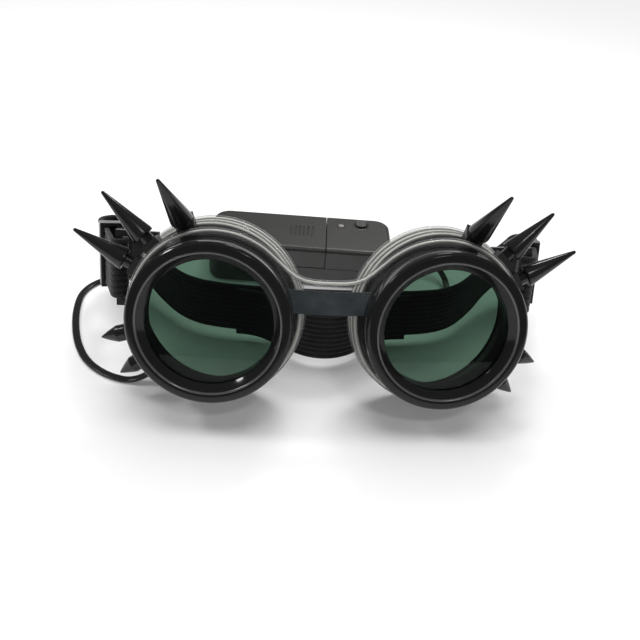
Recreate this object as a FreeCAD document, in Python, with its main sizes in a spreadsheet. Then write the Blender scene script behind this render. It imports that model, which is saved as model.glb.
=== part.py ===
"""Spiked light-up goggles: two screw-ring eye cups, wound light wire, headband and battery pack."""

import FreeCAD
import Part
import Sketcher
import math
import os

Vector = FreeCAD.Vector
Rotation = FreeCAD.Rotation
Placement = FreeCAD.Placement

DRIVING_SIZES = {
    # Stance of the two eye cups
    "ring_spacing": 86.8,
    "lens_tilt": 20.0,
    "cup_splay_angle": 3.0,
    # Screw ring
    "ring_outer_radius": 30.0,
    "ring_depth": 11.0,
    "ring_wall": 3.35,
    "ring_mouth_wall": 4.25,
    "ring_lip_reach": 2.55,
    "ring_cone_depth": 3.0,
    "ring_lip_thickness": 0.9,
    "ring_edge_chamfer": 0.9,
    "ring_mouth_chamfer": 0.6,
    # Lens and gasket
    "lens_bearing": 2.0,
    "lens_thickness": 2.0,
    "lens_edge_chamfer": 0.3,
    "gasket_width": 2.2,
    "gasket_thickness": 0.8,
    "screw_slip": 0.1,
    "thread_clearance": 0.35,
    # Eye cup
    "spigot_wall": 2.0,
    "barrel_flare_angle": 9.6,
    "barrel_wall": 2.2,
    "barrel_run": 30.0,
    "rim_depth": 29.0,
    "rim_slope_angle": 9.2,
    "rim_direction_angle": 20.0,
    "pad_thickness": 3.0,
    "pad_overhang": 0.4,
    # Strap lug on each temple
    "lug_reach": 8.4,
    "lug_thickness": 2.2,
    "lug_bar": 2.4,
    "lug_slot_clearance": 0.8,
    "lug_rise": 11.5,
    # Nose bridge band
    "bridge_thickness": 1.2,
    "bridge_height": 9.0,
    "bridge_lift": 8.0,
    "bridge_inset": 0.25,
    # Large spikes on blocks
    "spike_length": 21.5,
    "spike_base_radius": 4.25,
    "spike_tip_radius": 0.7,
    "spike_collar": 1.0,
    "spike_neck_radius": 2.6,
    "spike_neck_length": 2.8,
    "spike_angle_low": 28.0,
    "spike_angle_mid": 45.0,
    "spike_angle_top": 70.0,
    "spike_set_back_low": 0.0,
    "spike_set_back_mid": 0.6,
    "spike_set_back_top": 0.55,
    "spike_foot_back_top": 1.45,
    "spike_lean_angle_top": 42.0,
    "block_width": 7.0,
    "block_length": 5.0,
    "block_height": 4.6,
    # Small spikes on studs
    "bullet_radius": 3.25,
    "bullet_straight": 3.6,
    "bullet_point": 6.6,
    "bullet_tip_radius": 0.4,
    "bullet_standoff": 4.2,
    "bullet_angle_upper_left": -16.5,
    "bullet_angle_lower_left": -36.5,
    "bullet_angle_upper_right": -22.0,
    "bullet_angle_lower_right": -41.5,
    "bullet_set_back": 2.1,
    # Screws that hold the spikes from inside the cup
    "screw_radius": 1.1,
    "screw_clearance": 0.12,
    "screw_head_radius": 2.1,
    "screw_head_height": 1.2,
    "screw_head_seat": 0.15,
    "screw_bite": 6.0,
    # Light wire wound on the cups
    "wire_radius": 1.3,
    "wire_pitch": 3.2,
    "wire_swing": 4.0,
    "wire_end_turn": 0.479,
    "wire_rim_room": 5.2,
    "wire_lift": 0.3,
    "wire_side_clearance": 0.3,
    "wire_exit_angle": 135.0,
    "wire_crossing_clearance": 0.9,
    "end_cap_radius": 1.5,
    "end_cap_length": 5.0,
    "junction_length": 9.0,
    "junction_width": 3.4,
    "junction_height": 4.6,
    # Headband
    "band_width": 24.0,
    "band_thickness": 1.8,
    "band_floor_gap": 4.4,
    "band_fold_clearance": 0.25,
    "strap_end_length": 38.0,
    "strap_end_angle": 22.0,
    "strap_inner_length": 34.0,
    "keeper_length": 7.5,
    "keeper_wall": 1.5,
    "keeper_clearance": 0.35,
    "keeper_place": 28.0,
    # Battery and driver pack
    "driver_length": 33.0,
    "pack_corner": 8.0,
    "pack_edge": 2.2,
    "pack_wall": 1.8,
    "pack_seam_height": 11.0,
    "pack_place_x": -8.5,
    "pack_place_y": 110.0,
    "pack_yaw_angle": -3.0,
    "door_gap": 0.25,
    "cell_radius": 7.1,
    "cell_length": 49.2,
    "cell_nub_radius": 2.7,
    "cell_nub_length": 1.2,
    "contact_thickness": 0.5,
    "contact_stub_radius": 1.7,
    "contact_reach": 3.4,
    "cell_clearance": 0.3,
    "cell_side_room": 1.85,
    "cell_headroom": 3.9,
    "button_length": 7.0,
    "button_width": 5.4,
    "button_proud": 1.4,
    "button_clearance": 0.2,
    "button_flange": 1.0,
    "button_flange_thickness": 1.0,
    "button_stroke": 1.0,
    "button_corner": 2.2,
    "button_setback": 15.0,
    "button_across": 10.0,
    "led_radius": 1.5,
    "led_proud": 0.2,
    "led_clearance": 0.15,
    "led_setback": 25.5,
    "led_across": 8.0,
    "board_thickness": 1.6,
    "board_margin": 0.6,
    "board_post_radius": 1.6,
    "key_height": 4.4,
    "coil_length": 11.0,
    "coil_height": 5.5,
    "grip_count": 6,
    "grip_pitch": 2.2,
    "grip_width": 0.7,
    "grip_depth": 0.4,
    "grip_length": 10.0,
    "grip_setback": 7.0,
    "case_screw_radius": 1.0,
    "case_screw_head_radius": 2.0,
    "case_screw_head_height": 1.2,
    "case_post_radius": 2.6,
    "case_screw_inset": 7.5,
    "case_screw_bite": 5.0,
    "gland_radius": 2.4,
    "gland_length": 5.0,
    "gland_across": 6.0,
    "gland_flange": 1.0,
    "gland_clearance": 0.1,
    # Supply lead
    "lead_radius": 1.55,
    "lead_floor_gap": 0.1,
    "lead_end_run": 9.0,
}

SIDES = {"left": -1, "right": 1}

doc = FreeCAD.newDocument("spike_goggles")
sheet = doc.addObject("Spreadsheet::Sheet", "sizes")
for row, (alias, value) in enumerate(DRIVING_SIZES.items(), start=1):
    sheet.set("A%d" % row, alias)
    sheet.set("B%d" % row, str(value))
    sheet.setAlias("B%d" % row, alias)
doc.recompute()

nodes = {}


def size(alias):
    """Value of one driving size."""
    return float(sheet.get(alias))


def keep(name, feature):
    """Record a finished sub-part under its node name."""
    feature.Label = name
    nodes[name] = feature
    return feature


def bind(feature, **expressions):
    """Tie properties of a feature to the sheet."""
    for prop, expression in expressions.items():
        feature.setExpression(prop, expression)
    return feature


def cell(expression):
    """Spell an expression with the sheet's name before each alias, given as {alias}."""
    return expression.replace("{", "sizes.").replace("}", "")


probe = doc.addObject("Part::Vertex", "profile_probe")


def profile_place(radius, depth):
    """Where a profile corner lies for the present sizes."""
    bind(probe, X=radius, Y=depth)
    probe.recompute()
    return Vector(probe.X.Value, probe.Y.Value, 0)


def revolved_body(name, corners):
    """Body turned about Z from a closed profile of (radius, depth) expressions."""
    body = doc.addObject("PartDesign::Body", name)
    sketch = body.newObject("Sketcher::SketchObject", name + "_profile")
    plane = [item for item in body.Origin.OriginFeatures if item.Role == "XZ_Plane"][0]
    sketch.AttachmentSupport = [(plane, "")]
    sketch.MapMode = "FlatFace"
    texts = [(cell(radius), cell(depth)) for radius, depth in corners]
    places = [profile_place(radius, depth) for radius, depth in texts]
    count = len(places)
    for index in range(count):
        sketch.addGeometry(Part.LineSegment(places[index], places[(index + 1) % count]), False)
    for index in range(count):
        sketch.addConstraint(Sketcher.Constraint("Coincident", index, 2, (index + 1) % count, 1))
    for index, (radius, depth) in enumerate(texts):
        for kind, text, axis in (("DistanceX", radius, -2), ("DistanceY", depth, -1)):
            if text == "0":
                sketch.addConstraint(Sketcher.Constraint("PointOnObject", index, 1, axis))
                continue
            start = places[index].x if kind == "DistanceX" else places[index].y
            number = sketch.addConstraint(Sketcher.Constraint(kind, -1, 1, index, 1, start))
            sketch.setExpression("Constraints[%d]" % number, text)
    turn = body.newObject("PartDesign::Revolution", name + "_turn")
    turn.Profile = sketch
    turn.ReferenceAxis = (sketch, ["V_Axis"])
    turn.Angle = 360.0
    sketch.Visibility = False
    return body


def solid_feature(name, shape, placement=Placement()):
    """Sub-part whose shape is worked out from the sheet's sizes."""
    feature = doc.addObject("Part::Feature", name)
    feature.Shape = shape
    feature.Placement = placement
    return feature


def box(name, placement, length, width, height):
    """Box whose sides are expressions, centred on the placement in X and Y."""
    feature = doc.addObject("Part::Box", name)
    bind(feature, Length=cell(length), Width=cell(width), Height=cell(height))
    doc.recompute()
    corner = Vector(-feature.Length.Value / 2, -feature.Width.Value / 2, 0)
    feature.Placement = placement * Placement(corner, Rotation())
    return feature


def cylinder(name, placement, radius, height):
    """Cylinder along the placement's Z."""
    feature = doc.addObject("Part::Cylinder", name)
    bind(feature, Radius=cell(radius), Height=cell(height))
    feature.Placement = placement
    return feature


def cone(name, placement, radius_low, radius_high, height):
    """Cone along the placement's Z."""
    feature = doc.addObject("Part::Cone", name)
    bind(feature, Radius1=cell(radius_low), Radius2=cell(radius_high), Height=cell(height))
    feature.Placement = placement
    return feature


def cut(name, base, tool):
    """One piece taken away from another."""
    feature = doc.addObject("Part::Cut", name)
    feature.Base = base
    feature.Tool = tool
    return feature


def fuse(name, pieces):
    """Several pieces grown into one."""
    feature = doc.addObject("Part::MultiFuse", name)
    feature.Shapes = pieces
    return feature


def common(name, first, second):
    """What two pieces share."""
    feature = doc.addObject("Part::Common", name)
    feature.Base = first
    feature.Tool = second
    return feature


def shifted(x=0.0, y=0.0, z=0.0):
    """Placement that only moves."""
    return Placement(Vector(x, y, z), Rotation())


# Depths along a cup's axis, counted backwards from the ring's front face
LIP_BACK = "({ring_cone_depth} + {ring_lip_thickness})"
LENS_FRONT = "(%s + {screw_slip})" % LIP_BACK
LENS_BACK = "(%s + {lens_thickness})" % LENS_FRONT
GASKET_BACK = "(%s + {gasket_thickness})" % LENS_BACK
SPIGOT_FRONT = "(%s + {screw_slip})" % GASKET_BACK
SHOULDER = "({ring_depth} + {screw_slip} + {bridge_thickness})"
FLARE = "tan({barrel_flare_angle} * 1 deg)"
RING_OPENING = "({ring_outer_radius} - {ring_mouth_wall})"
RING_LIP = "(%s - {ring_lip_reach})" % RING_OPENING
LENS_EDGE = "(%s + {lens_bearing})" % RING_LIP
RING_BORE = "({ring_outer_radius} - {ring_wall})"
SPIGOT = "(%s - {thread_clearance})" % RING_BORE
BARREL_REAR_RADIUS = "({ring_outer_radius} + {barrel_run} * %s)" % FLARE
BARREL_END = "(%s + {barrel_run})" % SHOULDER

shoulder = size("ring_depth") + size("screw_slip") + size("bridge_thickness")
flare = math.tan(math.radians(size("barrel_flare_angle")))
tilt = math.radians(size("lens_tilt"))
rim_gradient = math.tan(math.radians(size("rim_slope_angle")))
rim_direction = math.radians(size("rim_direction_angle"))
wire_radius = size("wire_radius")
band_width = size("band_width")
first_turn_depth = shoulder + size("wire_side_clearance") + wire_radius

FREE_TURN = 0.75
QUARTER = 0.25
winding_room = size("rim_depth") - size("wire_rim_room") - first_turn_depth
wire_turns = math.floor(winding_room / size("wire_pitch")) + size("wire_end_turn")


def barrel_radius(depth):
    """Outer radius of the flared barrel."""
    return size("ring_outer_radius") + (depth - shoulder) * flare


def rim_at(angle, radius):
    """Depth of the slanted rim at an angle from the temple."""
    along = radius * math.cos(angle - rim_direction)
    return size("rim_depth") + rim_gradient * along


def wire_depth(turn):
    """Depth of the light wire after so many turns: one flat turn, then a swinging climb."""
    if turn <= FREE_TURN:
        return first_turn_depth
    swing = size("wire_swing") * (1 + math.sin(2 * math.pi * turn))
    return first_turn_depth + swing + size("wire_pitch") * (turn - FREE_TURN)


def lowest_reach():
    """Height of the ring centre at which the lowest edge of a cup meets the table."""
    pad_radius = barrel_radius(size("rim_depth") + size("pad_thickness")) + size("pad_overhang")
    pad_depth = rim_at(-math.pi / 2, pad_radius) + size("pad_thickness")
    pad = pad_depth * math.sin(tilt) + pad_radius * math.cos(tilt)
    low = 0.0
    step_count = 200
    for step in range(step_count):
        turn = wire_turns * step / step_count
        angle = math.radians(size("wire_exit_angle")) - 2 * math.pi * turn
        radius = barrel_radius(wire_depth(turn)) + size("wire_lift") + wire_radius
        drop = -radius * math.sin(angle) * math.cos(tilt) + wire_depth(turn) * math.sin(tilt)
        low = max(low, drop + wire_radius)
    return max(pad, low + size("wire_lift"))


ring_height = lowest_reach()


cell_reach = size("cell_length") + size("cell_nub_length")
pack_wall = size("pack_wall")
pack_length = pack_wall + 2 * size("contact_reach") + cell_reach + size("driver_length")
cell_span = 4 * size("cell_radius") + size("cell_clearance")
pack_width = cell_span + 2 * (size("cell_side_room") + pack_wall)
cell_top = pack_wall + size("cell_clearance") + 2 * size("cell_radius")
pack_height = cell_top + size("cell_headroom") + pack_wall


def stance():
    """Offset that centres the object's depth on the origin: ring front to pack rear."""
    splay = math.radians(size("cup_splay_angle"))
    front_radius = size("ring_outer_radius") - size("ring_edge_chamfer")
    front = -front_radius * math.hypot(math.sin(tilt), math.sin(splay))
    yaw = math.radians(size("pack_yaw_angle"))
    corner = size("pack_corner")
    along = abs(math.sin(yaw)) * (pack_length / 2 - corner)
    across = math.cos(yaw) * (pack_width / 2 - corner)
    rear = size("pack_place_y") + along + across + corner
    return -(front + rear) / 2


stance_y = stance()


def cup_placement(side):
    """Cup frame: X to the right, Y down the lens, Z backwards along the axis."""
    turn = Rotation(Vector(0, 0, 1), side * size("cup_splay_angle"))
    lean = Rotation(Vector(1, 0, 0), -(90 + size("lens_tilt")))
    return Placement(Vector(side * size("ring_spacing") / 2, stance_y, ring_height), turn * lean)


def cup_point(side, radius, angle, depth):
    """Point in the cup frame, its angle in degrees from the temple, upwards positive."""
    turn = math.radians(angle)
    return Vector(side * radius * math.cos(turn), -radius * math.sin(turn), depth)


def spike_placement(side, angle, depth, lean=0.0):
    """Frame on the barrel's surface: Z out along the spike, X along the cup's axis."""
    out = cup_point(side, 1.0, angle, 0.0)
    back = Vector(0, 0, 1)
    tip = math.radians(lean)
    aim = out * math.cos(tip) - back * math.sin(tip)
    along = back * math.cos(tip) + out * math.sin(tip)
    foot = cup_point(side, barrel_radius(depth), angle, depth)
    return cup_placement(side) * Placement(foot, Rotation(along, Vector(), aim, "ZXY"))


block_depth = first_turn_depth + wire_radius + size("wire_side_clearance") + size("block_length") / 2
bullet_depth = first_turn_depth + wire_radius + size("bullet_set_back")
SPIKE_ROWS = ("low", "mid", "top")
BULLET_ROWS = ("upper", "lower")


def large_spike_placement(side, row):
    """Where a spike's axis meets the barrel; the top one leans forward over its block."""
    lean = size("spike_lean_angle_top") if row == "top" else 0.0
    behind = size("spike_foot_back_top") if row == "top" else 0.0
    depth = block_depth + size("spike_set_back_" + row) + behind
    return spike_placement(side, size("spike_angle_" + row), depth, lean)


def bullet_placement(name, side, row):
    """Where a small spike's stud stands."""
    return spike_placement(side, size("bullet_angle_%s_%s" % (row, name)), bullet_depth)


def lens_ring(side):
    """Screw ring: coned mouth, lip that holds the lens, plain bore over the spigot."""
    body = revolved_body("ring_turned", (
        (RING_OPENING + " + {ring_mouth_chamfer}", "0"),
        ("{ring_outer_radius} - {ring_edge_chamfer}", "0"),
        ("{ring_outer_radius}", "{ring_edge_chamfer}"),
        ("{ring_outer_radius}", "{ring_depth}"),
        (RING_BORE, "{ring_depth}"),
        (RING_BORE, LIP_BACK),
        (RING_LIP, LIP_BACK),
        (RING_LIP, "{ring_cone_depth}"),
        (RING_OPENING, "{ring_mouth_chamfer}"),
    ))
    body.Placement = cup_placement(side)
    return body


def lens(side):
    """Dark lens disc with broken edges."""
    body = revolved_body("lens_turned", (
        ("0", LENS_FRONT),
        (LENS_EDGE + " - {lens_edge_chamfer}", LENS_FRONT),
        (LENS_EDGE, LENS_FRONT + " + {lens_edge_chamfer}"),
        (LENS_EDGE, LENS_BACK + " - {lens_edge_chamfer}"),
        (LENS_EDGE + " - {lens_edge_chamfer}", LENS_BACK),
        ("0", LENS_BACK),
    ))
    body.Placement = cup_placement(side)
    return body


def lens_gasket(side):
    """Flat washer between the lens and the spigot."""
    body = revolved_body("gasket_turned", (
        (SPIGOT + " - {gasket_width}", LENS_BACK),
        (SPIGOT, LENS_BACK),
        (SPIGOT, GASKET_BACK),
        (SPIGOT + " - {gasket_width}", GASKET_BACK),
    ))
    body.Placement = cup_placement(side)
    return body


def rim_frame(side):
    """Frame on the slanted rim, Z pointing back out of the cup."""
    normal = Vector(
        -side * rim_gradient * math.cos(rim_direction),
        rim_gradient * math.sin(rim_direction),
        1.0,
    )
    local = Placement(Vector(0, 0, size("rim_depth")), Rotation(Vector(0, 0, 1), normal))
    return cup_placement(side) * local


def barrel_cone(side, inset="0"):
    """Solid cone of the barrel's outside, less an inset."""
    local = shifted(z=shoulder)
    low = "{ring_outer_radius} - %s" % inset
    high = "%s - %s" % (BARREL_REAR_RADIUS, inset)
    return cone("barrel_cone", cup_placement(side) * local, low, high, "{barrel_run}")


def lug_front():
    """Depth at which the strap lug starts, behind the last turn of wire across its height."""
    turn = math.floor(wire_turns) + (size("wire_exit_angle") / 360.0)
    while turn > wire_turns:
        turn -= 1.0
    half = band_width / 2 + size("lug_slot_clearance") + size("lug_bar") + size("lug_rise")
    spread = math.asin(min(1.0, half / barrel_radius(shoulder))) / (2 * math.pi)
    step_count = 20
    stops = [turn + spread * (2 * step / step_count - 1) for step in range(step_count + 1)]
    deepest = max(wire_depth(min(stop, wire_turns)) for stop in stops)
    return deepest + wire_radius + size("wire_side_clearance")


lug_root = barrel_radius(lug_front())
lug_tip = lug_root + size("lug_reach")
bar_centre = lug_tip - size("lug_bar") / 2
bar_depth = lug_front() + size("lug_thickness") / 2
fold_radius = math.hypot(size("lug_bar"), size("lug_thickness")) / 2 + size("band_fold_clearance")


def lug_blank(side):
    """Slotted plate on the temple that the headband folds round."""
    rise = size("lug_rise")
    start = cup_placement(side) * shifted(side * (lug_tip - size("lug_reach")), -rise, lug_front())
    plate_height = "{band_width} + 2 * {lug_slot_clearance} + 2 * {lug_bar}"
    plate = box("lug_plate", start, "2 * {lug_reach}", plate_height, "{lug_thickness}")
    slot_middle = (lug_root + lug_tip - size("lug_bar")) / 2 + size("barrel_wall") / 2
    slot_place = cup_placement(side) * shifted(side * slot_middle, -rise, lug_front() - 1)
    slot = box(
        "lug_slot", slot_place, "{lug_reach} - {lug_bar} - {barrel_wall}",
        "{band_width} + 2 * {lug_slot_clearance}", "{lug_thickness} + 2",
    )
    slotted = cut("lug_slotted", plate, slot)
    return cut("lug_rooted", slotted, barrel_cone(side, "{barrel_wall} / 2"))


def screw_hole(placement):
    """Clearance hole for one spike screw through the barrel's wall."""
    start = placement * shifted(z=-2 * size("barrel_wall"))
    return cylinder("screw_hole", start, "{screw_radius} + {screw_clearance}", "4 * {barrel_wall}")


def eye_cup(name, side):
    """Flared cup with a plain spigot for the ring, a strap lug and a slanted rim."""
    inner = "{ring_outer_radius} - {barrel_wall}"
    body = revolved_body("cup_turned", (
        (SPIGOT, SPIGOT_FRONT),
        (SPIGOT, SHOULDER),
        ("{ring_outer_radius}", SHOULDER),
        (BARREL_REAR_RADIUS, BARREL_END),
        (BARREL_REAR_RADIUS + " - {barrel_wall}", BARREL_END),
        (inner + " + {barrel_wall} * " + FLARE, SHOULDER + " + {barrel_wall}"),
        (SPIGOT + " - {spigot_wall}", SHOULDER + " + {barrel_wall}"),
        (SPIGOT + " - {spigot_wall}", SPIGOT_FRONT),
    ))
    body.Placement = cup_placement(side)
    whole = fuse("cup_with_lug", [body, lug_blank(side)])
    reach = "4 * {ring_outer_radius}"
    behind = box("behind_rim", rim_frame(side), reach, reach, "2 * {barrel_run}")
    holes = [screw_hole(large_spike_placement(side, row)) for row in SPIKE_ROWS]
    holes += [screw_hole(bullet_placement(name, side, row)) for row in BULLET_ROWS]
    return cut("cup_" + name, whole, fuse("cup_cuts", [behind] + holes))


def face_pad(side):
    """Soft trim along the slanted rim."""
    outer = "{ring_outer_radius} + {pad_overhang}"
    inner = "{ring_outer_radius} - {barrel_wall} - {pad_overhang}"
    grow = " + {barrel_run} * " + FLARE
    body = revolved_body("pad_turned", (
        (outer, SHOULDER),
        (outer + grow, BARREL_END),
        (inner + grow, BARREL_END),
        (inner, SHOULDER),
    ))
    body.Placement = cup_placement(side)
    reach = "4 * {ring_outer_radius}"
    slab = box("pad_slab", rim_frame(side), reach, reach, "{pad_thickness}")
    return common("pad", body, slab)


def spike_block(side, row):
    """Small block saddled on the barrel, its top square to the spike."""
    axis = large_spike_placement(side, row)
    place = spike_placement(side, size("spike_angle_" + row), block_depth + size("spike_set_back_" + row))
    start = place * shifted(z=-size("block_height"))
    blank = box("block_blank", start, "{block_length}", "{block_width}", "3 * {block_height}")
    low = axis * shifted(z=-size("block_height"))
    drill = cylinder("block_drill", low, "{screw_radius} + {screw_clearance}", "2 * {block_height}")
    reach = "4 * {block_length}"
    above = box("block_above", axis * shifted(z=size("block_height")), reach, reach, reach)
    return cut("block", blank, fuse("block_cuts", [drill, barrel_cone(side), above]))


def large_spike(side, row):
    """Cone spike on a narrow neck, drilled for its screw."""
    top = "({spike_neck_length} + {spike_length})"
    bore = "{screw_radius} + {screw_clearance}"
    body = revolved_body("spike_turned", (
        (bore, "0"),
        ("{spike_neck_radius}", "0"),
        ("{spike_neck_radius}", "{spike_neck_length}"),
        ("{spike_base_radius}", "{spike_neck_length}"),
        ("{spike_base_radius}", "{spike_neck_length} + {spike_collar}"),
        ("{spike_tip_radius}", top + " - {spike_tip_radius}"),
        ("0", top),
        ("0", "{screw_bite} + {screw_slip}"),
        (bore, "{screw_bite} + {screw_slip}"),
    ))
    body.Placement = large_spike_placement(side, row) * shifted(z=size("block_height"))
    return body


def small_spike(name, side, row):
    """Bullet spike that stands on its screw above the wound wire."""
    top = "({bullet_straight} + {bullet_point})"
    bore = "{screw_radius} + {screw_clearance}"
    body = revolved_body("bullet_turned", (
        (bore, "0"),
        ("{bullet_radius}", "0"),
        ("{bullet_radius}", "{bullet_straight}"),
        ("{bullet_tip_radius}", top + " - {bullet_tip_radius}"),
        ("0", top),
        ("0", "{screw_bite} + {screw_slip}"),
        (bore, "{screw_bite} + {screw_slip}"),
    ))
    body.Placement = bullet_placement(name, side, row) * shifted(z=size("bullet_standoff"))
    return body


def spike_screw(placement, standoff, lean=0.0):
    """Pan screw from inside the barrel up into a spike, its head clear of the wall however it leans."""
    slant = math.radians(lean - size("barrel_flare_angle"))
    wall = size("barrel_wall") * math.cos(math.radians(size("barrel_flare_angle")))
    edge = size("screw_head_radius") * abs(math.sin(slant))
    under = (wall + edge) / math.cos(slant) + size("screw_head_seat")
    start = placement * shifted(z=-under - size("screw_head_height"))
    head = cylinder("screw_head", start, "{screw_head_radius}", "{screw_head_height}")
    length = "{screw_head_height} + %.6f + %s + {screw_bite}" % (under, standoff)
    shank = cylinder("screw_shank", start, "{screw_radius}", length)
    return fuse("screw", [head, shank])


def spike_screws(name, side):
    """All five spike screws of one cup."""
    screws = [spike_screw(large_spike_placement(side, row), "{block_height}") for row in ("low", "mid")]
    lean = size("spike_lean_angle_top")
    screws.append(spike_screw(large_spike_placement(side, "top"), "{block_height}", lean))
    screws += [spike_screw(bullet_placement(name, side, row), "{bullet_standoff}") for row in BULLET_ROWS]
    group = doc.addObject("Part::Compound", "screws_" + name)
    group.Links = screws
    return group


for name, side in SIDES.items():
    keep("lens_ring_" + name, lens_ring(side))
    keep("lens_" + name, lens(side))
    keep("lens_gasket_" + name, lens_gasket(side))
    keep("eye_cup_" + name, eye_cup(name, side))
    keep("face_pad_" + name, face_pad(side))
    for row in SPIKE_ROWS:
        keep("spike_block_%s_%s" % (row, name), spike_block(side, row))
        keep("large_spike_%s_%s" % (row, name), large_spike(side, row))
    for row in BULLET_ROWS:
        keep("small_spike_%s_%s" % (row, name), small_spike(name, side, row))
    keep("spike_screws_" + name, spike_screws(name, side))
doc.recompute()


def bridge_half(side):
    """One half of the nose band: a washer trapped behind the ring, and a strip to the middle."""
    front = size("ring_depth") + size("screw_slip")
    thickness = size("bridge_thickness")
    outer = size("ring_outer_radius") - size("bridge_inset")
    washer = Part.makeCylinder(outer, thickness, Vector(0, 0, front))
    reach = size("ring_spacing") / 2 + size("bridge_height")
    low = -size("bridge_lift") - size("bridge_height") / 2
    corner = Vector(0 if side < 0 else -reach, low, front)
    strip = Part.makeBox(reach, size("bridge_height"), thickness, corner)
    bore = size("ring_outer_radius") - size("ring_wall")
    hole = Part.makeCylinder(bore, 3 * thickness, Vector(0, 0, front - thickness))
    half = washer.fuse(strip).cut(hole)
    half.Placement = cup_placement(side)
    far = 2 * reach
    far_side = Part.makeBox(far, 2 * far, 2 * far, Vector(0 if side < 0 else -far, -far, -far))
    return half.cut(far_side)


def bridge_strap():
    """Nose band in one piece."""
    both = bridge_half(SIDES["left"]).fuse(bridge_half(SIDES["right"]))
    return solid_feature("bridge", both.removeSplitter())


def wire_point(side, turn):
    """Point of the light wire's centre line after so many turns from the nose."""
    depth = wire_depth(turn)
    radius = barrel_radius(depth) + size("wire_lift") + wire_radius
    angle = size("wire_exit_angle") - 360.0 * turn
    return cup_placement(side).multVec(cup_point(side, radius, angle, depth))


def wire_heading(side, turn):
    """Unit tangent of the centre line, away from the nose."""
    nudge = 0.001
    return (wire_point(side, turn + nudge) - wire_point(side, turn - nudge)).normalize()


def wound_points(side):
    """Quarter-turn points and tangents from the nose to the wire's end."""
    count = math.ceil(wire_turns / QUARTER)
    stops = [wire_turns * step / count for step in range(count + 1)]
    return [(wire_point(side, stop), wire_heading(side, stop)) for stop in stops]


def arc_from(start, heading, end):
    """Arc that leaves start along heading and reaches end."""
    chord = end - start
    along = Vector(chord).normalize()
    side_way = heading - along * heading.dot(along)
    if side_way.Length < 1e-7:
        return Part.LineSegment(start, end)
    half_turn = math.acos(max(-1.0, min(1.0, heading.dot(along))))
    rise = chord.Length / 2 * math.tan(half_turn / 2)
    middle = start + chord * 0.5 + side_way.normalize() * rise
    return Part.Arc(start, middle, end)


def biarc(start, start_heading, end, end_heading):
    """Two arcs that join two points smoothly along their headings."""
    gap = end - start
    headings = start_heading + end_heading
    bend = 2 * (1 - start_heading.dot(end_heading))
    reach = gap.dot(headings)
    if bend < 1e-9:
        handle = gap.dot(gap) / (2 * reach)
    else:
        handle = (-reach + math.sqrt(reach * reach + bend * gap.dot(gap))) / bend
    joint = (start + start_heading * handle + end - end_heading * handle) * 0.5
    first = arc_from(start, start_heading, joint)
    last = arc_from(end, end_heading * -1, joint)
    middle = last.value((last.FirstParameter + last.LastParameter) / 2)
    return [first, Part.Arc(joint, middle, end)]


def light_wire_stops():
    """Centre line from the left end, over the nose, to the right end."""
    left = [(place, heading * -1) for place, heading in reversed(wound_points(SIDES["left"]))]
    right = wound_points(SIDES["right"])
    bridge_top = size("bridge_lift") + size("bridge_height") / 2
    front = size("ring_depth") + size("screw_slip")
    top_edge = ring_height + bridge_top * math.cos(tilt) - front * math.sin(tilt)
    middle_height = top_edge + size("wire_crossing_clearance") + wire_radius
    middle_y = stance_y + bridge_top * math.sin(tilt) + front * math.cos(tilt)
    crossing = (Vector(0, middle_y, middle_height), Vector(1, 0, 0))
    return left + [crossing] + right


def tube(edges, radius):
    """Round tube along joined edges, compared with its section times its length."""
    path = Part.Wire(edges)
    start = path.Edges[0].valueAt(path.Edges[0].FirstParameter)
    heading = path.Edges[0].tangentAt(path.Edges[0].FirstParameter)
    section = Part.Wire([Part.Circle(start, heading, radius).toShape()])
    shell = Part.BRepOffsetAPI.MakePipeShell(path)
    shell.add(section)
    shell.build()
    shell.makeSolid()
    solid = shell.shape()
    ideal = math.pi * radius * radius * path.Length
    print("tube: %.1f mm long, volume %.1f against %.1f" % (path.Length, solid.Volume, ideal))
    return solid


def light_wire():
    """Light wire wound on both cups in one unbroken tube."""
    stops = light_wire_stops()
    end_run = 2 * wire_radius
    first, first_heading = stops[0]
    last, last_heading = stops[-1]
    curves = [Part.LineSegment(first - first_heading * end_run, first)]
    for (start, start_heading), (end, end_heading) in zip(stops, stops[1:]):
        curves += biarc(start, start_heading, end, end_heading)
    curves.append(Part.LineSegment(last, last + last_heading * end_run))
    edges = [curve.toShape() for curve in curves]
    print("light wire least radius %.1f mm" % least_radius(edges))
    print("light wire least gap to itself %.2f mm" % least_gap(edges))
    return solid_feature("wire", tube(edges, wire_radius))


def least_radius(edges):
    """Tightest arc of a path."""
    return min(edge.Curve.Radius for edge in edges if isinstance(edge.Curve, Part.Circle))


def least_gap(edges):
    """Least clear distance between parts of a path that lie apart along it."""
    step = wire_radius
    points = []
    run = 0.0
    for edge in edges:
        count = max(2, int(edge.Length / step))
        for place in edge.discretize(count)[:-1]:
            points.append((run, place))
        run += edge.Length
    apart = 6 * wire_radius
    least = run
    total = len(points)
    for index in range(total):
        for other in range(index + 1, total):
            if abs(points[other][0] - points[index][0]) > apart and other - index > apart / step:
                least = min(least, points[index][1].distanceToPoint(points[other][1]))
    return least - 2 * wire_radius


def wire_end(side):
    """Frame at the wire's end: Z on along the wire, X out from the barrel."""
    heading = wire_heading(side, wire_turns)
    place = wire_point(side, wire_turns) + heading * 2 * wire_radius
    angle = size("wire_exit_angle") - 360.0 * wire_turns
    out = cup_placement(side).Rotation.multVec(cup_point(side, 1.0, angle, 0.0))
    return Placement(place, Rotation(out, Vector(), heading, "ZXY"))


def junction_block():
    """Potted block on the left cup where the lead joins the light wire."""
    side = SIDES["left"]
    across = "2 * {junction_height}"
    blank = box("junction_blank", wire_end(side), across, "{junction_width}", "{junction_length}")
    return cut("junction", blank, barrel_cone(side))


def end_cap():
    """Sealing cap on the wire's far end."""
    return cylinder("cap", wire_end(SIDES["right"]), "{end_cap_radius}", "{end_cap_length}")


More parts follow.
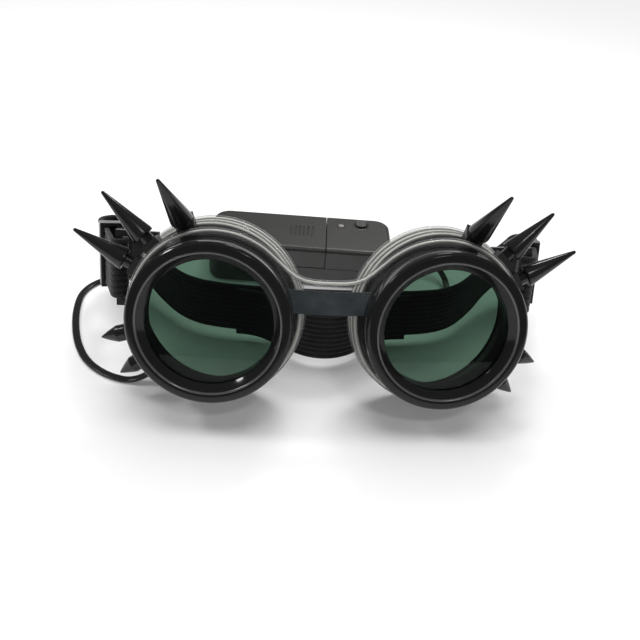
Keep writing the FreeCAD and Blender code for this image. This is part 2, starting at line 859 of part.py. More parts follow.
keep("bridge_strap", bridge_strap())
keep("light_wire", light_wire())
keep("wire_junction", junction_block())
keep("wire_end_cap", end_cap())


def fold_frame(side):
    """Frame of a strap end at the lug's bar: X away from the nose, Y along the strap, Z across it."""
    swing = math.radians(size("strap_end_angle"))
    along = Vector(side * math.sin(swing), 0, math.cos(swing))
    out = Vector(side * math.cos(swing), 0, -math.sin(swing))
    across = out.cross(along)
    start = Vector(side * bar_centre, -size("lug_rise"), bar_depth) - across * (band_width / 2)
    return cup_placement(side) * Placement(start, Rotation(out, along, across, "XYZ"))


fold_middle = fold_radius + size("band_thickness") / 2
fold_outer = fold_radius + size("band_thickness")


def strap_meeting(side):
    """Point and level heading where a strap end meets the headband."""
    frame = fold_frame(side)
    place = frame.multVec(Vector(fold_middle, size("strap_end_length"), band_width / 2))
    heading = frame.Rotation.multVec(Vector(0, 1, 0))
    heading.z = 0
    return place, heading.normalize()


def strap_end(side):
    """End of the headband, folded round the lug's bar and trimmed upright where it meets the rest."""
    legs = size("strap_end_length") + band_width * math.sin(tilt)
    inner_leg = size("strap_inner_length")
    outer_arc = Part.Arc(Vector(fold_outer, 0, 0), Vector(0, -fold_outer, 0), Vector(-fold_outer, 0, 0))
    inner_arc = Part.Arc(Vector(-fold_radius, 0, 0), Vector(0, -fold_radius, 0), Vector(fold_radius, 0, 0))
    outline = Part.Wire([
        Part.LineSegment(Vector(fold_outer, legs, 0), Vector(fold_outer, 0, 0)).toShape(),
        outer_arc.toShape(),
        Part.LineSegment(Vector(-fold_outer, 0, 0), Vector(-fold_outer, inner_leg, 0)).toShape(),
        Part.LineSegment(Vector(-fold_outer, inner_leg, 0), Vector(-fold_radius, inner_leg, 0)).toShape(),
        Part.LineSegment(Vector(-fold_radius, inner_leg, 0), Vector(-fold_radius, 0, 0)).toShape(),
        inner_arc.toShape(),
        Part.LineSegment(Vector(fold_radius, 0, 0), Vector(fold_radius, legs, 0)).toShape(),
        Part.LineSegment(Vector(fold_radius, legs, 0), Vector(fold_outer, legs, 0)).toShape(),
    ])
    folded = Part.Face(outline).extrude(Vector(0, 0, band_width))
    folded.Placement = fold_frame(side)
    place, heading = strap_meeting(side)
    reach = 2 * legs
    beyond = Part.makeBox(reach, reach, reach, Vector(-reach / 2, 0, -reach / 2))
    upright = Rotation(Vector(), heading, Vector(0, 0, 1), "ZYX")
    beyond.Placement = Placement(place, upright)
    return solid_feature("strap_end", folded.cut(beyond))


def strap_keeper(side):
    """Sliding keeper with a middle bar between the two layers of strap."""
    gap = size("keeper_clearance")
    wall = size("keeper_wall")
    length = size("keeper_length")
    thick = 2 * (fold_outer + gap + wall)
    tall = band_width + 2 * (gap + wall)
    start = size("keeper_place") - length / 2
    outside = Part.makeBox(thick, length, tall, Vector(-thick / 2, start, -gap - wall))
    corner = Vector(wall - thick / 2, start - length, -gap)
    hollow = Part.makeBox(thick - 2 * wall, 3 * length, tall - 2 * wall, corner)
    bar_thick = 2 * (fold_radius - gap)
    bar = Part.makeBox(bar_thick, length / 3, tall, Vector(-bar_thick / 2, start + length / 3, -gap - wall))
    return solid_feature("keeper", outside.cut(hollow).fuse(bar).removeSplitter(), fold_frame(side))


def rounded_edges(points, share=0.45):
    """Straight runs through points, joined by tangent arcs as large as the runs allow."""
    edges = []
    place = points[0]
    radii = []
    for before, corner, after in zip(points, points[1:], points[2:]):
        come = (corner - before)
        leave = (after - corner)
        inset = share * min(come.Length, leave.Length)
        come.normalize()
        leave.normalize()
        start = corner - come * inset
        end = corner + leave * inset
        half_turn = come.getAngle(leave) / 2
        radii.append(inset / math.tan(half_turn))
        edges.append(Part.LineSegment(place, start).toShape())
        edges.append(arc_from(start, come, end).toShape())
        place = end
    edges.append(Part.LineSegment(place, points[-1]).toShape())
    return edges, radii


def upright_band(points):
    """Webbing kept upright on its edge along a route."""
    edges, radii = rounded_edges(points)
    path = Part.Wire(edges)
    heading = points[1] - points[0]
    side_way = Vector(-heading.y, heading.x, 0).normalize() * (size("band_thickness") / 2)
    rise = Vector(0, 0, band_width)
    low_left = points[0] + side_way
    low_right = points[0] - side_way
    section = Part.makePolygon([low_left, low_right, low_right + rise, low_left + rise, low_left])
    shell = Part.BRepOffsetAPI.MakePipeShell(path)
    shell.setBiNormalMode(Vector(0, 0, 1))
    shell.add(section)
    shell.build()
    shell.makeSolid()
    print("band: %.1f mm long, least radius %.1f" % (path.Length, min(radii)))
    return shell.shape()


# Routes from the ring line backwards. Right half of the headband from its lobe inwards, with the share
# of the fall from the strap end to the floor that is still to come at each point
BAND_LOBE = (
    (101.5, 79.5, 0.85), (96.0, 89.5, 0.62), (83.0, 81.0, 0.33),
    (71.0, 66.0, 0.0), (58.0, 52.5, 0.0), (40.0, 48.0, 0.0),
)
BAND_MIDDLE = (0.0, 46.0)
TAIL_ROUTE = (
    (-37.0, 45.2), (-28.0, 44.8), (-18.0, 37.5), (-8.0, 30.5), (3.0, 28.8),
    (13.0, 32.5), (21.0, 40.5), (29.0, 44.8), (38.0, 45.2),
)


def band_point(x, y, lift=0.0):
    """Point on the headband's lower edge."""
    return Vector(x, stance_y + y, size("band_floor_gap") + lift)


def headband():
    """Main run of the elastic headband, lobe to lobe."""
    place, heading = strap_meeting(SIDES["right"])
    fall = max(0.0, place.z - band_width / 2 - size("band_floor_gap"))
    start = Vector(place.x, place.y, size("band_floor_gap") + fall) + heading * size("band_fold_clearance")
    half = [start] + [band_point(x, y, fall * share) for x, y, share in BAND_LOBE]
    mirrored = [Vector(-point.x, point.y, point.z) for point in half]
    return solid_feature("band", upright_band(mirrored + [band_point(*BAND_MIDDLE)] + half[::-1]))


def headband_tail():
    """Loose inner layer of the headband, bowed towards the nose."""
    return solid_feature("tail", upright_band([band_point(x, y) for x, y in TAIL_ROUTE]))


for name, side in SIDES.items():
    keep("strap_end_" + name, strap_end(side))
    keep("strap_keeper_" + name, strap_keeper(side))
keep("headband", headband())
keep("headband_tail", headband_tail())

seam = size("pack_seam_height")
door_gap = size("door_gap")
split = pack_length / 2 - size("driver_length")
pack_frame = Placement(
    Vector(size("pack_place_x"), stance_y + size("pack_place_y"), 0),
    Rotation(Vector(0, 0, 1), size("pack_yaw_angle")),
)


def span(low, high):
    """Box between two corners."""
    return Part.makeBox(high[0] - low[0], high[1] - low[1], high[2] - low[2], Vector(*low))


def rounded_block(low, high, corner):
    """Box between two corners with rounded upright edges."""
    block = span(low, high)
    upright = [edge for edge in block.Edges if abs(edge.tangentAt(edge.FirstParameter).z) > 0.5]
    return block.makeFillet(corner, upright)


lamp_x = pack_length / 2 - size("led_setback")
flange_top = pack_height - pack_wall - size("screw_slip")
flange_low = flange_top - size("button_flange_thickness")
key_top = flange_low - size("button_stroke") - size("screw_slip")
board_top = key_top - size("key_height")
board_low = board_top - size("board_thickness")


def upright_rod(x, y, low, high, radius):
    """Upright cylinder between two heights of the pack."""
    return Part.makeCylinder(radius, high - low, Vector(x, y, low))


def pack_shell():
    """Whole case as one hollow shell, with its solid outside."""
    corner = size("pack_corner")
    half_x = pack_length / 2
    half_y = pack_width / 2
    outside = rounded_block((-half_x, -half_y, 0), (half_x, half_y, pack_height), corner)
    level = [edge for edge in outside.Edges if edge.BoundBox.ZLength < 1e-6]
    outside = outside.makeFillet(size("pack_edge"), level)
    half_x -= pack_wall
    half_y -= pack_wall
    ceiling = pack_height - pack_wall
    inside = rounded_block((-half_x, -half_y, pack_wall), (half_x, half_y, ceiling), corner - pack_wall)
    return outside.cut(inside), outside


def case_screw_places():
    """Where the two case screws stand, across the driver end."""
    inset = size("case_screw_inset")
    x = pack_length / 2 - inset
    y = pack_width / 2 - inset
    return ((x, -y), (x, y))


def gland_bore():
    """Clear hole through the end wall for the lead's gland."""
    radius = size("gland_radius") + size("gland_clearance")
    start = Vector(pack_length / 2 - 2 * pack_wall, size("gland_across"), seam)
    return Part.makeCylinder(radius, 4 * pack_wall, start, Vector(1, 0, 0))


def bulkhead(low, high):
    """Wall between the cells and the driver."""
    half = pack_width / 2
    return span((split, -half, low), (split + pack_wall, half, high))


def board_span():
    """Ends of the driver board along the pack, and its half width."""
    margin = size("board_margin")
    start = split + pack_wall + margin
    end = pack_length / 2 - size("case_screw_inset") - size("case_post_radius") - margin
    return start, end, pack_width / 2 - pack_wall - margin


def pack_base():
    """Lower half of the case, with screw posts and board posts."""
    shell, outside = pack_shell()
    half = outside.common(span((-pack_length, -pack_width, 0), (pack_length, pack_width, seam)))
    base = shell.common(half).fuse(bulkhead(0, seam).common(half))
    post = size("case_post_radius")
    bore = size("case_screw_radius") + size("screw_clearance")
    recess = size("case_screw_head_radius") + size("screw_clearance")
    recess_depth = size("case_screw_head_height") + size("screw_clearance")
    for x, y in case_screw_places():
        base = base.fuse(upright_rod(x, y, pack_wall / 2, seam, post))
        base = base.cut(upright_rod(x, y, -1, pack_height, bore))
        base = base.cut(upright_rod(x, y, -1, recess_depth, recess))
    start, end = board_span()[:2]
    radius = size("board_post_radius")
    for x in (start + radius, end - radius):
        base = base.fuse(upright_rod(x, 0, pack_wall / 2, board_low, radius))
    base = base.cut(gland_bore())
    return solid_feature("base", base.removeSplitter(), pack_frame)


def button_block(grow, low, high):
    """Rounded button between two heights, grown all round."""
    x = pack_length / 2 - size("button_setback")
    y = size("button_across")
    half_x = size("button_width") / 2 + grow
    half_y = size("button_length") / 2 + grow
    corner = size("button_corner") + grow
    return rounded_block((x - half_x, y - half_y, low), (x + half_x, y + half_y, high), corner)


def pack_cover():
    """Upper half of the case over the driver, with the button's and lamp's holes."""
    shell, outside = pack_shell()
    room = span((split, -pack_width, seam), (pack_length, pack_width, 2 * pack_height))
    cover = shell.common(room).fuse(bulkhead(seam, pack_height).common(outside))
    bore = size("case_screw_radius") + size("screw_clearance")
    for x, y in case_screw_places():
        cover = cover.fuse(upright_rod(x, y, seam, pack_height - pack_wall / 2, size("case_post_radius")))
        cover = cover.cut(upright_rod(x, y, 0, seam + size("case_screw_bite") + 2 * bore, bore))
    cover = cover.cut(button_block(size("button_clearance"), seam, 2 * pack_height))
    lamp = size("led_radius") + size("led_clearance")
    lamp_hole = upright_rod(lamp_x, size("led_across"), seam, 2 * pack_height, lamp)
    cover = cover.cut(lamp_hole)
    cover = cover.cut(gland_bore())
    return solid_feature("cover", cover.removeSplitter(), pack_frame)


def battery_door():
    """Sliding door over the cells, with grip lines."""
    shell = pack_shell()[0]
    low = (-pack_length, -pack_width, seam + door_gap)
    door = shell.common(span(low, (split - door_gap, pack_width, 2 * pack_height)))
    half = size("grip_length") / 2
    width = size("grip_width")
    for index in range(int(size("grip_count"))):
        x = split - size("grip_setback") - index * size("grip_pitch")
        line = span((x - width, -half, pack_height - size("grip_depth")), (x, half, 2 * pack_height))
        door = door.cut(line)
    return solid_feature("door", door, pack_frame)


def cell_row():
    """Across-pack places of the two cells and which way each points."""
    across = size("cell_radius") + size("cell_clearance") / 2
    return {"front": (-across, 1), "rear": (across, -1)}


cell_height = cell_top - size("cell_radius")
bay_start = -pack_length / 2 + pack_wall
bay_middle = (bay_start + split) / 2


def battery_cell(across, way):
    """Finger cell with its nub."""
    start = Vector(bay_middle - way * cell_reach / 2, across, cell_height)
    can = Part.makeCylinder(size("cell_radius"), size("cell_length"), start, Vector(way, 0, 0))
    nub_length = size("cell_length") + size("cell_nub_length")
    nub = Part.makeCylinder(size("cell_nub_radius"), nub_length, start, Vector(way, 0, 0))
    return solid_feature("cell", can.fuse(nub).removeSplitter(), pack_frame)


def battery_contacts():
    """Sprung plates at both ends of the battery bay."""
    thin = size("contact_thickness")
    half_wide = size("cell_radius") + size("contact_stub_radius")
    reach = size("contact_reach")
    pieces = []
    for wall_x, way in ((bay_start, 1), (split, -1)):
        start = min(wall_x, wall_x + way * thin)
        plate = span((start, -half_wide, pack_wall), (start + thin, half_wide, seam))
        for across, cell_way in cell_row().values():
            middle = Vector(wall_x, across, cell_height)
            stub = Part.makeCylinder(size("contact_stub_radius"), reach, middle, Vector(way, 0, 0))
            plate = plate.fuse(stub)
        pieces.append(plate.removeSplitter())
    return solid_feature("contacts", Part.makeCompound(pieces), pack_frame)




def pack_button():
    """Push button with a flange under the cover."""
    cap = button_block(0.0, flange_low, pack_height + size("button_proud"))
    flange = button_block(size("button_flange"), flange_low, flange_top)
    return solid_feature("button", cap.fuse(flange).removeSplitter(), pack_frame)


def driver_board():
    """Driver board with the key switch under the button."""
    start, end, half = board_span()
    board = span((start, -half, board_low), (end, half, board_top))
    key = button_block(0.0, board_low, key_top)
    return solid_feature("board", board.fuse(key).removeSplitter(), pack_frame)


def driver_coil():
    """Step-up coil on the board."""
    half = size("coil_length") / 2
    x = board_span()[0] + size("board_margin") + half
    y = -pack_width / 4
    coil = span((x - half, y - half, board_top), (x + half, y + half, board_top + size("coil_height")))
    return solid_feature("coil", coil, pack_frame)


def pack_lamp():
    """Small lamp that stands on the board and shows through the cover."""
    tip = pack_height + size("led_proud")
    lamp = upright_rod(lamp_x, size("led_across"), board_top, tip, size("led_radius"))
    return solid_feature("lamp", lamp, pack_frame)


def case_screws():
    """Two screws from below that hold the case together."""
    screws = []
    for x, y in case_screw_places():
        head_top = size("case_screw_head_height")
        low = size("screw_clearance") / 2
        head = upright_rod(x, y, low, head_top, size("case_screw_head_radius"))
        shank = upright_rod(x, y, low, seam + size("case_screw_bite"), size("case_screw_radius"))
        screws.append(head.fuse(shank).removeSplitter())
    return solid_feature("case_screws", Part.makeCompound(screws), pack_frame)


def lead_gland():
    """Grommet in the end wall, with a flange inside."""
    thick = size("gland_flange")
    start = Vector(pack_length / 2 - pack_wall - thick, size("gland_across"), seam)
    axis = Vector(1, 0, 0)
    length = pack_wall + thick + size("gland_length")
    sleeve = Part.makeCylinder(size("gland_radius"), length, start, axis)
    flange = Part.makeCylinder(size("gland_radius") + thick, thick, start, axis)
    return solid_feature("gland", sleeve.fuse(flange).removeSplitter(), pack_frame)


keep("pack_base", pack_base())
keep("pack_cover", pack_cover())
keep("battery_door", battery_door())
for place, (across, way) in cell_row().items():
    keep("battery_cell_" + place, battery_cell(across, way))
keep("battery_contacts", battery_contacts())
keep("pack_button", pack_button())
keep("driver_board", driver_board())
keep("driver_coil", driver_coil())
keep("pack_lamp", pack_lamp())
keep("case_screws", case_screws())
keep("lead_gland", lead_gland())


# Supply lead on the table, from the pack's end round the left temple, counted from the ring line
LEAD_FALL = ((63.5, 106.5, 7.2), (68.0, 95.5, 3.6))
LEAD_FLOOR = (
    (65.0, 83.5), (55.0, 75.5), (40.0, 72.5), (18.0, 73.5), (-6.0, 76.0), (-30.0, 80.0),
    (-52.0, 86.0), (-72.0, 91.5), (-91.0, 93.5), (-107.0, 89.0), (-113.5, 78.0), (-112.5, 64.0),
    (-109.5, 51.0), (-105.0, 38.0), (-98.0, 26.0), (-87.0, 17.5),
)


def junction_face():
    """Middle of the junction block's outer face and the way out of it."""
    frame = wire_end(SIDES["left"])
    place = frame.multVec(Vector(size("junction_height"), 0, size("junction_length") / 2))
    return place, frame.Rotation.multVec(Vector(1, 0, 0))


def supply_lead():
    """Lead from the pack's gland to the junction block."""
    floor = size("lead_radius") + size("lead_floor_gap")
    mouth = pack_length / 2 + size("gland_length")
    start = pack_frame.multVec(Vector(mouth, size("gland_across"), seam))
    leave = pack_frame.multVec(Vector(mouth + size("lead_end_run"), size("gland_across"), seam))
    end, outward = junction_face()
    points = [start, leave]
    points += [Vector(x, stance_y + y, z) for x, y, z in LEAD_FALL]
    points += [Vector(x, stance_y + y, floor) for x, y in LEAD_FLOOR]
    points += [end + outward * ((end.z - floor) / abs(outward.z)), end]
    edges, radii = rounded_edges(points)
    print("lead: least radius %.1f mm" % min(radii))
    print("lead: radii " + " ".join("%.1f" % radius for radius in radii))
    return solid_feature("lead", tube(edges, size("lead_radius")))


keep("supply_lead", supply_lead())


def finished(feature):
    """Stop if a sub-part failed to build."""
    if "Invalid" in feature.State or "Error" in feature.State:
        raise RuntimeError("%s failed: %s" % (feature.Label, feature.State))
    if feature.Shape.isNull() or not feature.Shape.isValid():
        raise RuntimeError("%s has no valid shape" % feature.Label)
    return feature.Shape


doc.recompute()
for item in doc.Objects:
    if "Invalid" in item.State or "Error" in item.State:
        raise RuntimeError("%s failed: %s" % (item.Name, item.State))
os.makedirs("parts", exist_ok=True)
for name, feature in nodes.items():
    finished(feature).exportStep("parts/%s.step" % name)
    print("%s: %d solids, %.1f mm3" % (name, len(feature.Shape.Solids), feature.Shape.Volume))
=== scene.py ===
"""Dress the spiked light-up goggles: rings, lenses, spikes, light wire, webbing, pack and lead."""

import logging
import math
from dataclasses import dataclass
from enum import Enum
from typing import Sequence

import bmesh
import bpy
from mathutils import Matrix, Vector


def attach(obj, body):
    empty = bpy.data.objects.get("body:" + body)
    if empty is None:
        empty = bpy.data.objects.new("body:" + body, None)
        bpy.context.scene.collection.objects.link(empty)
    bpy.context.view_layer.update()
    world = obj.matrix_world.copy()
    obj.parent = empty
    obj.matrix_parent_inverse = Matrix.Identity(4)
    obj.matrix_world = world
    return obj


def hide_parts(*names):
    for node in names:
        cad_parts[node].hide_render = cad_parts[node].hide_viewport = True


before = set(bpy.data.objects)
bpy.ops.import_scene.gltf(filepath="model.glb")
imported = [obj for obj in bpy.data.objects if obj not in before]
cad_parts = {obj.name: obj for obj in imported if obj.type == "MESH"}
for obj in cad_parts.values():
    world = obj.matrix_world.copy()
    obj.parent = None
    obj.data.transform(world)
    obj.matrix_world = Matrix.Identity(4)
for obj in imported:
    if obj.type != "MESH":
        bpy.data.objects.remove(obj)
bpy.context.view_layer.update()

logging.basicConfig(level=logging.INFO, format="%(message)s")
log = logging.getLogger("goggles")

MM = 0.001
ROOT = "goggles"
Colour = tuple[float, float, float]
Profile = Sequence[tuple[float, float]]


class Side(Enum):
    """Left and right as the viewer of the lenses sees them."""

    LEFT = -1
    RIGHT = 1

    @property
    def label(self) -> str:
        """Name of the side as used in node names."""
        return self.name.lower()


class Row(Enum):
    """Rows of large spikes on a temple, with angle, set-back and forward lean."""

    LOW = (28.0, 0.0, 0.0)
    MID = (45.0, 0.6, 0.0)
    TOP = (70.0, 2.0, 42.0)


class StudRow(Enum):
    """Rows of small spikes with their angles on the left and on the right."""

    UPPER = (-16.5, -22.0)
    LOWER = (-36.5, -41.5)


class NodeSketch:
    """Small helper that adds and links nodes in one tree."""

    def __init__(self, tree: bpy.types.NodeTree) -> None:
        """Take over a node tree.

        Args:
            tree: Tree that the nodes go into.
        """
        self.tree = tree

    def add(self, kind: str, **inputs: object) -> bpy.types.Node:
        """Add one node and set its inputs.

        Args:
            kind: Blender's node type name.
            inputs: Values by input name, with _ for each space.

        Returns:
            The new node.
        """
        node = self.tree.nodes.new(kind)
        for name, value in inputs.items():
            node.inputs[name.replace("_", " ")].default_value = value
        return node

    def link(self, source: bpy.types.NodeSocket, target: bpy.types.NodeSocket) -> None:
        """Join an output to an input."""
        self.tree.links.new(source, target)


def blank_material(name: str) -> tuple[bpy.types.Material, NodeSketch, bpy.types.Node]:
    """Start a material.

    Args:
        name: Name of the material.

    Returns:
        The material, a helper for its tree and its shader.
    """
    material = bpy.data.materials.new(name)
    material.use_nodes = True
    return material, NodeSketch(material.node_tree), material.node_tree.nodes["Principled BSDF"]


class SurfaceEffects:
    """Shader node groups that several finishes share."""

    def __init__(self) -> None:
        """Build the groups once."""
        self.grain = self._grain()
        self.smudge = self._smudge()
        self.weave = self._weave()

    @staticmethod
    def _group(
        name: str, inputs: Sequence[tuple[str, str, float]], outputs: Sequence[str]
    ) -> bpy.types.NodeTree:
        """Start an empty group.

        Args:
            name: Name of the group.
            inputs: Name, socket type and default of each input.
            outputs: Names of the float outputs.

        Returns:
            The group's tree, with an input and an output node.
        """
        group = bpy.data.node_groups.new(name, "ShaderNodeTree")
        for label, kind, value in inputs:
            socket = group.interface.new_socket(name=label, in_out="INPUT", socket_type=kind)
            if kind == "NodeSocketFloat":
                socket.default_value = value
        for label in outputs:
            group.interface.new_socket(name=label, in_out="OUTPUT", socket_type="NodeSocketFloat")
        group.nodes.new("NodeGroupInput").name = "in"
        group.nodes.new("NodeGroupOutput").name = "out"
        return group

    def _grain(self) -> bpy.types.NodeTree:
        """Fine moulded grain.

        Returns:
            Group with a Height output.
        """
        place = ("Vector", "NodeSocketVector", 0.0)
        group = self._group("moulded_grain", (place, ("Scale", "NodeSocketFloat", 4000.0)), ("Height",))
        sketch = NodeSketch(group)
        start, end = group.nodes["in"], group.nodes["out"]
        noise = sketch.add("ShaderNodeTexNoise", Detail=2.0, Roughness=0.6)
        sketch.link(start.outputs["Vector"], noise.inputs["Vector"])
        sketch.link(start.outputs["Scale"], noise.inputs["Scale"])
        sketch.link(noise.outputs["Fac"], end.inputs["Height"])
        return group

    def _smudge(self) -> bpy.types.NodeTree:
        """Handling marks that change the gloss.

        Returns:
            Group with a Roughness output between Low and High.
        """
        group = self._group(
            "handling_smudge",
            (
                ("Vector", "NodeSocketVector", 0.0),
                ("Scale", "NodeSocketFloat", 90.0),
                ("Low", "NodeSocketFloat", 0.1),
                ("High", "NodeSocketFloat", 0.2),
            ),
            ("Roughness",),
        )
        sketch = NodeSketch(group)
        start, end = group.nodes["in"], group.nodes["out"]
        noise = sketch.add("ShaderNodeTexNoise", Detail=4.0, Roughness=0.65)
        spread = sketch.add("ShaderNodeMapRange", From_Min=0.35, From_Max=0.7)
        sketch.link(start.outputs["Vector"], noise.inputs["Vector"])
        sketch.link(start.outputs["Scale"], noise.inputs["Scale"])
        sketch.link(noise.outputs["Fac"], spread.inputs["Value"])
        sketch.link(start.outputs["Low"], spread.inputs["To Min"])
        sketch.link(start.outputs["High"], spread.inputs["To Max"])
        sketch.link(spread.outputs["Result"], end.inputs["Roughness"])
        return group

    def _weave(self) -> bpy.types.NodeTree:
        """Knitted or woven yarn.

        Returns:
            Group with Height and Shade outputs.
        """
        place = ("Vector", "NodeSocketVector", 0.0)
        group = self._group("yarn_weave", (place, ("Scale", "NodeSocketFloat", 1500.0)), ("Height", "Shade"))
        sketch = NodeSketch(group)
        start, end = group.nodes["in"], group.nodes["out"]
        cells = sketch.add("ShaderNodeTexVoronoi", Randomness=0.55)
        patches = sketch.add("ShaderNodeTexNoise", Scale=160.0, Detail=3.0)
        shade = sketch.add("ShaderNodeMapRange", From_Min=0.3, From_Max=0.75, To_Min=0.7, To_Max=1.25)
        for node in (cells, patches):
            sketch.link(start.outputs["Vector"], node.inputs["Vector"])
        sketch.link(start.outputs["Scale"], cells.inputs["Scale"])
        sketch.link(cells.outputs["Distance"], end.inputs["Height"])
        sketch.link(patches.outputs["Fac"], shade.inputs["Value"])
        sketch.link(shade.outputs["Result"], end.inputs["Shade"])
        return group


@dataclass(frozen=True)
class Finish:
    """Opaque finish: colour, gloss, smudges and moulded grain."""

    name: str
    colour: Colour
    gloss: tuple[float, float]
    metallic: float = 0.0
    coat: float = 0.0
    shine: float = 0.5
    smudge_scale: float = 90.0
    grain_scale: float = 3000.0
    grain_height: float = 0.0
    grain_strength: float = 0.6

    def material(self, effects: SurfaceEffects) -> bpy.types.Material:
        """Build the material.

        Args:
            effects: Shared node groups.

        Returns:
            The finished material.
        """
        material, sketch, shader = blank_material(self.name)
        shader.inputs["Base Color"].default_value = (*self.colour, 1.0)
        shader.inputs["Metallic"].default_value = self.metallic
        shader.inputs["Coat Weight"].default_value = self.coat
        shader.inputs["Specular IOR Level"].default_value = self.shine
        place = sketch.add("ShaderNodeTexCoord")
        smudge = sketch.add("ShaderNodeGroup")
        smudge.node_tree = effects.smudge
        smudge.inputs["Scale"].default_value = self.smudge_scale
        smudge.inputs["Low"].default_value, smudge.inputs["High"].default_value = self.gloss
        sketch.link(place.outputs["Object"], smudge.inputs["Vector"])
        sketch.link(smudge.outputs["Roughness"], shader.inputs["Roughness"])
        if self.grain_height > 0:
            grain = sketch.add("ShaderNodeGroup")
            grain.node_tree = effects.grain
            grain.inputs["Scale"].default_value = self.grain_scale
            bump = sketch.add("ShaderNodeBump", Strength=self.grain_strength, Distance=self.grain_height)
            sketch.link(place.outputs["Object"], grain.inputs["Vector"])
            sketch.link(grain.outputs["Height"], bump.inputs["Height"])
            sketch.link(bump.outputs["Normal"], shader.inputs["Normal"])
        return material


@dataclass(frozen=True)
class ClearFinish:
    """Clear or tinted finish that light passes through."""

    name: str
    colour: Colour
    roughness: float
    ior: float
    transmission: float = 1.0
    shine: float = 1.0

    def material(self, effects: SurfaceEffects) -> bpy.types.Material:
        """Build the material.

        Args:
            effects: Shared node groups, not used by a clear finish.

        Returns:
            The finished material.
        """
        material, _, shader = blank_material(self.name)
        shader.inputs["Base Color"].default_value = (*self.colour, 1.0)
        shader.inputs["Roughness"].default_value = self.roughness
        shader.inputs["IOR"].default_value = self.ior
        shader.inputs["Specular Tint"].default_value = (self.shine, self.shine, self.shine, 1.0)
        shader.inputs["Transmission Weight"].default_value = self.transmission
        return material


@dataclass(frozen=True)
class SheathFinish:
    """Thin clear sleeve: see-through in the middle, closing towards its edges, where its grey colour is a
    painted reflection of dark surroundings.
    """

    name: str
    colour: Colour
    roughness: float
    middle: float
    edge: float
    closing_start: float = 0.25

    def material(self, effects: SurfaceEffects) -> bpy.types.Material:
        """Build the material.

        Args:
            effects: Shared node groups, not used by a sleeve.

        Returns:
            The finished material.
        """
        material, sketch, shader = blank_material(self.name)
        shader.inputs["Base Color"].default_value = (*self.colour, 1.0)
        shader.inputs["Roughness"].default_value = self.roughness
        facing = sketch.add("ShaderNodeLayerWeight", Blend=0.5)
        closing = sketch.add(
            "ShaderNodeMapRange", From_Min=self.closing_start, To_Min=self.middle, To_Max=self.edge
        )
        sketch.link(facing.outputs["Facing"], closing.inputs["Value"])
        sketch.link(closing.outputs["Result"], shader.inputs["Alpha"])
        return material


@dataclass(frozen=True)
class ClothFinish:
    """Woven finish with yarn relief and patchy shade."""

    name: str
    colour: Colour
    roughness: float
    yarn_scale: float
    yarn_height: float
    sheen: float = 0.15
    shine: float = 0.25
    yarn_strength: float = 0.8

    def material(self, effects: SurfaceEffects) -> bpy.types.Material:
        """Build the material.

        Args:
            effects: Shared node groups.

        Returns:
            The finished material.
        """
        material, sketch, shader = blank_material(self.name)
        shader.inputs["Roughness"].default_value = self.roughness
        shader.inputs["Sheen Weight"].default_value = self.sheen
        shader.inputs["Specular IOR Level"].default_value = self.shine
        place = sketch.add("ShaderNodeTexCoord")
        weave = sketch.add("ShaderNodeGroup")
        weave.node_tree = effects.weave
        weave.inputs["Scale"].default_value = self.yarn_scale
        tint = sketch.add("ShaderNodeVectorMath")
        tint.operation = "SCALE"
        tint.inputs[0].default_value = self.colour
        bump = sketch.add("ShaderNodeBump", Strength=self.yarn_strength, Distance=self.yarn_height)
        bump.invert = True
        sketch.link(place.outputs["Object"], weave.inputs["Vector"])
        sketch.link(weave.outputs["Shade"], tint.inputs["Scale"])
        sketch.link(tint.outputs["Vector"], shader.inputs["Base Color"])
        sketch.link(weave.outputs["Height"], bump.inputs["Height"])
        sketch.link(bump.outputs["Normal"], shader.inputs["Normal"])
        return material


RING_BLACK = Finish("ring_gloss_black", (0.010, 0.010, 0.010), (0.08, 0.14), shine=0.3, smudge_scale=60.0)
# Lighter grey bead finish: its colour is a painted highlight along the ring's inner lip edge.
LIP_PAINTED_HIGHLIGHT = Finish("ring_lip_polish", (0.060, 0.060, 0.060), (0.20, 0.28), shine=1.0)
CUP_BLACK = Finish("cup_satin_black", (0.014, 0.014, 0.015), (0.28, 0.42), grain_height=0.00002)
SPIKE_BLACK = Finish("spike_gloss_black", (0.011, 0.011, 0.012), (0.16, 0.22), shine=0.4, smudge_scale=120.0)
BLOCK_BLACK = Finish("block_satin_black", (0.013, 0.013, 0.014), (0.30, 0.45), grain_height=0.00002)
STEEL = Finish("screw_steel", (0.52, 0.52, 0.54), (0.22, 0.38), metallic=1.0)
GASKET_BLACK = Finish("gasket_rubber", (0.016, 0.016, 0.016), (0.60, 0.75))
PAD_BLACK = Finish("pad_soft_black", (0.014, 0.014, 0.015), (0.55, 0.70), grain_height=0.00003)
KEEPER_BLACK = Finish("keeper_plastic", (0.012, 0.012, 0.013), (0.25, 0.40), grain_height=0.00002)
PACK_BLACK = Finish(
    "pack_fine_satin", (0.016, 0.0155, 0.0135), (0.42, 0.50), shine=1.0, grain_height=0.000025
)
BUTTON_GREY = Finish("button_grey", (0.060, 0.058, 0.055), (0.40, 0.52), grain_height=0.00002)
GLAND_BLACK = Finish("gland_rubber", (0.012, 0.012, 0.012), (0.45, 0.60))
LEAD_BLACK = Finish("lead_sleeve", (0.012, 0.012, 0.012), (0.20, 0.32), smudge_scale=200.0)
JUNCTION_BLACK = Finish("junction_potting", (0.012, 0.012, 0.012), (0.30, 0.45))
CELL_JACKET = Finish("cell_jacket", (0.06, 0.06, 0.07), (0.25, 0.35), coat=0.5)
CONTACT_PLATE = Finish("contact_plating", (0.70, 0.62, 0.42), (0.25, 0.35), metallic=1.0)
BOARD_GREEN = Finish("board_lacquer", (0.02, 0.10, 0.04), (0.30, 0.40), coat=0.4)
COIL_BROWN = Finish("coil_varnish", (0.10, 0.05, 0.02), (0.35, 0.50))
WIRE_CORE = Finish("wire_core", (0.62, 0.62, 0.58), (0.45, 0.55))
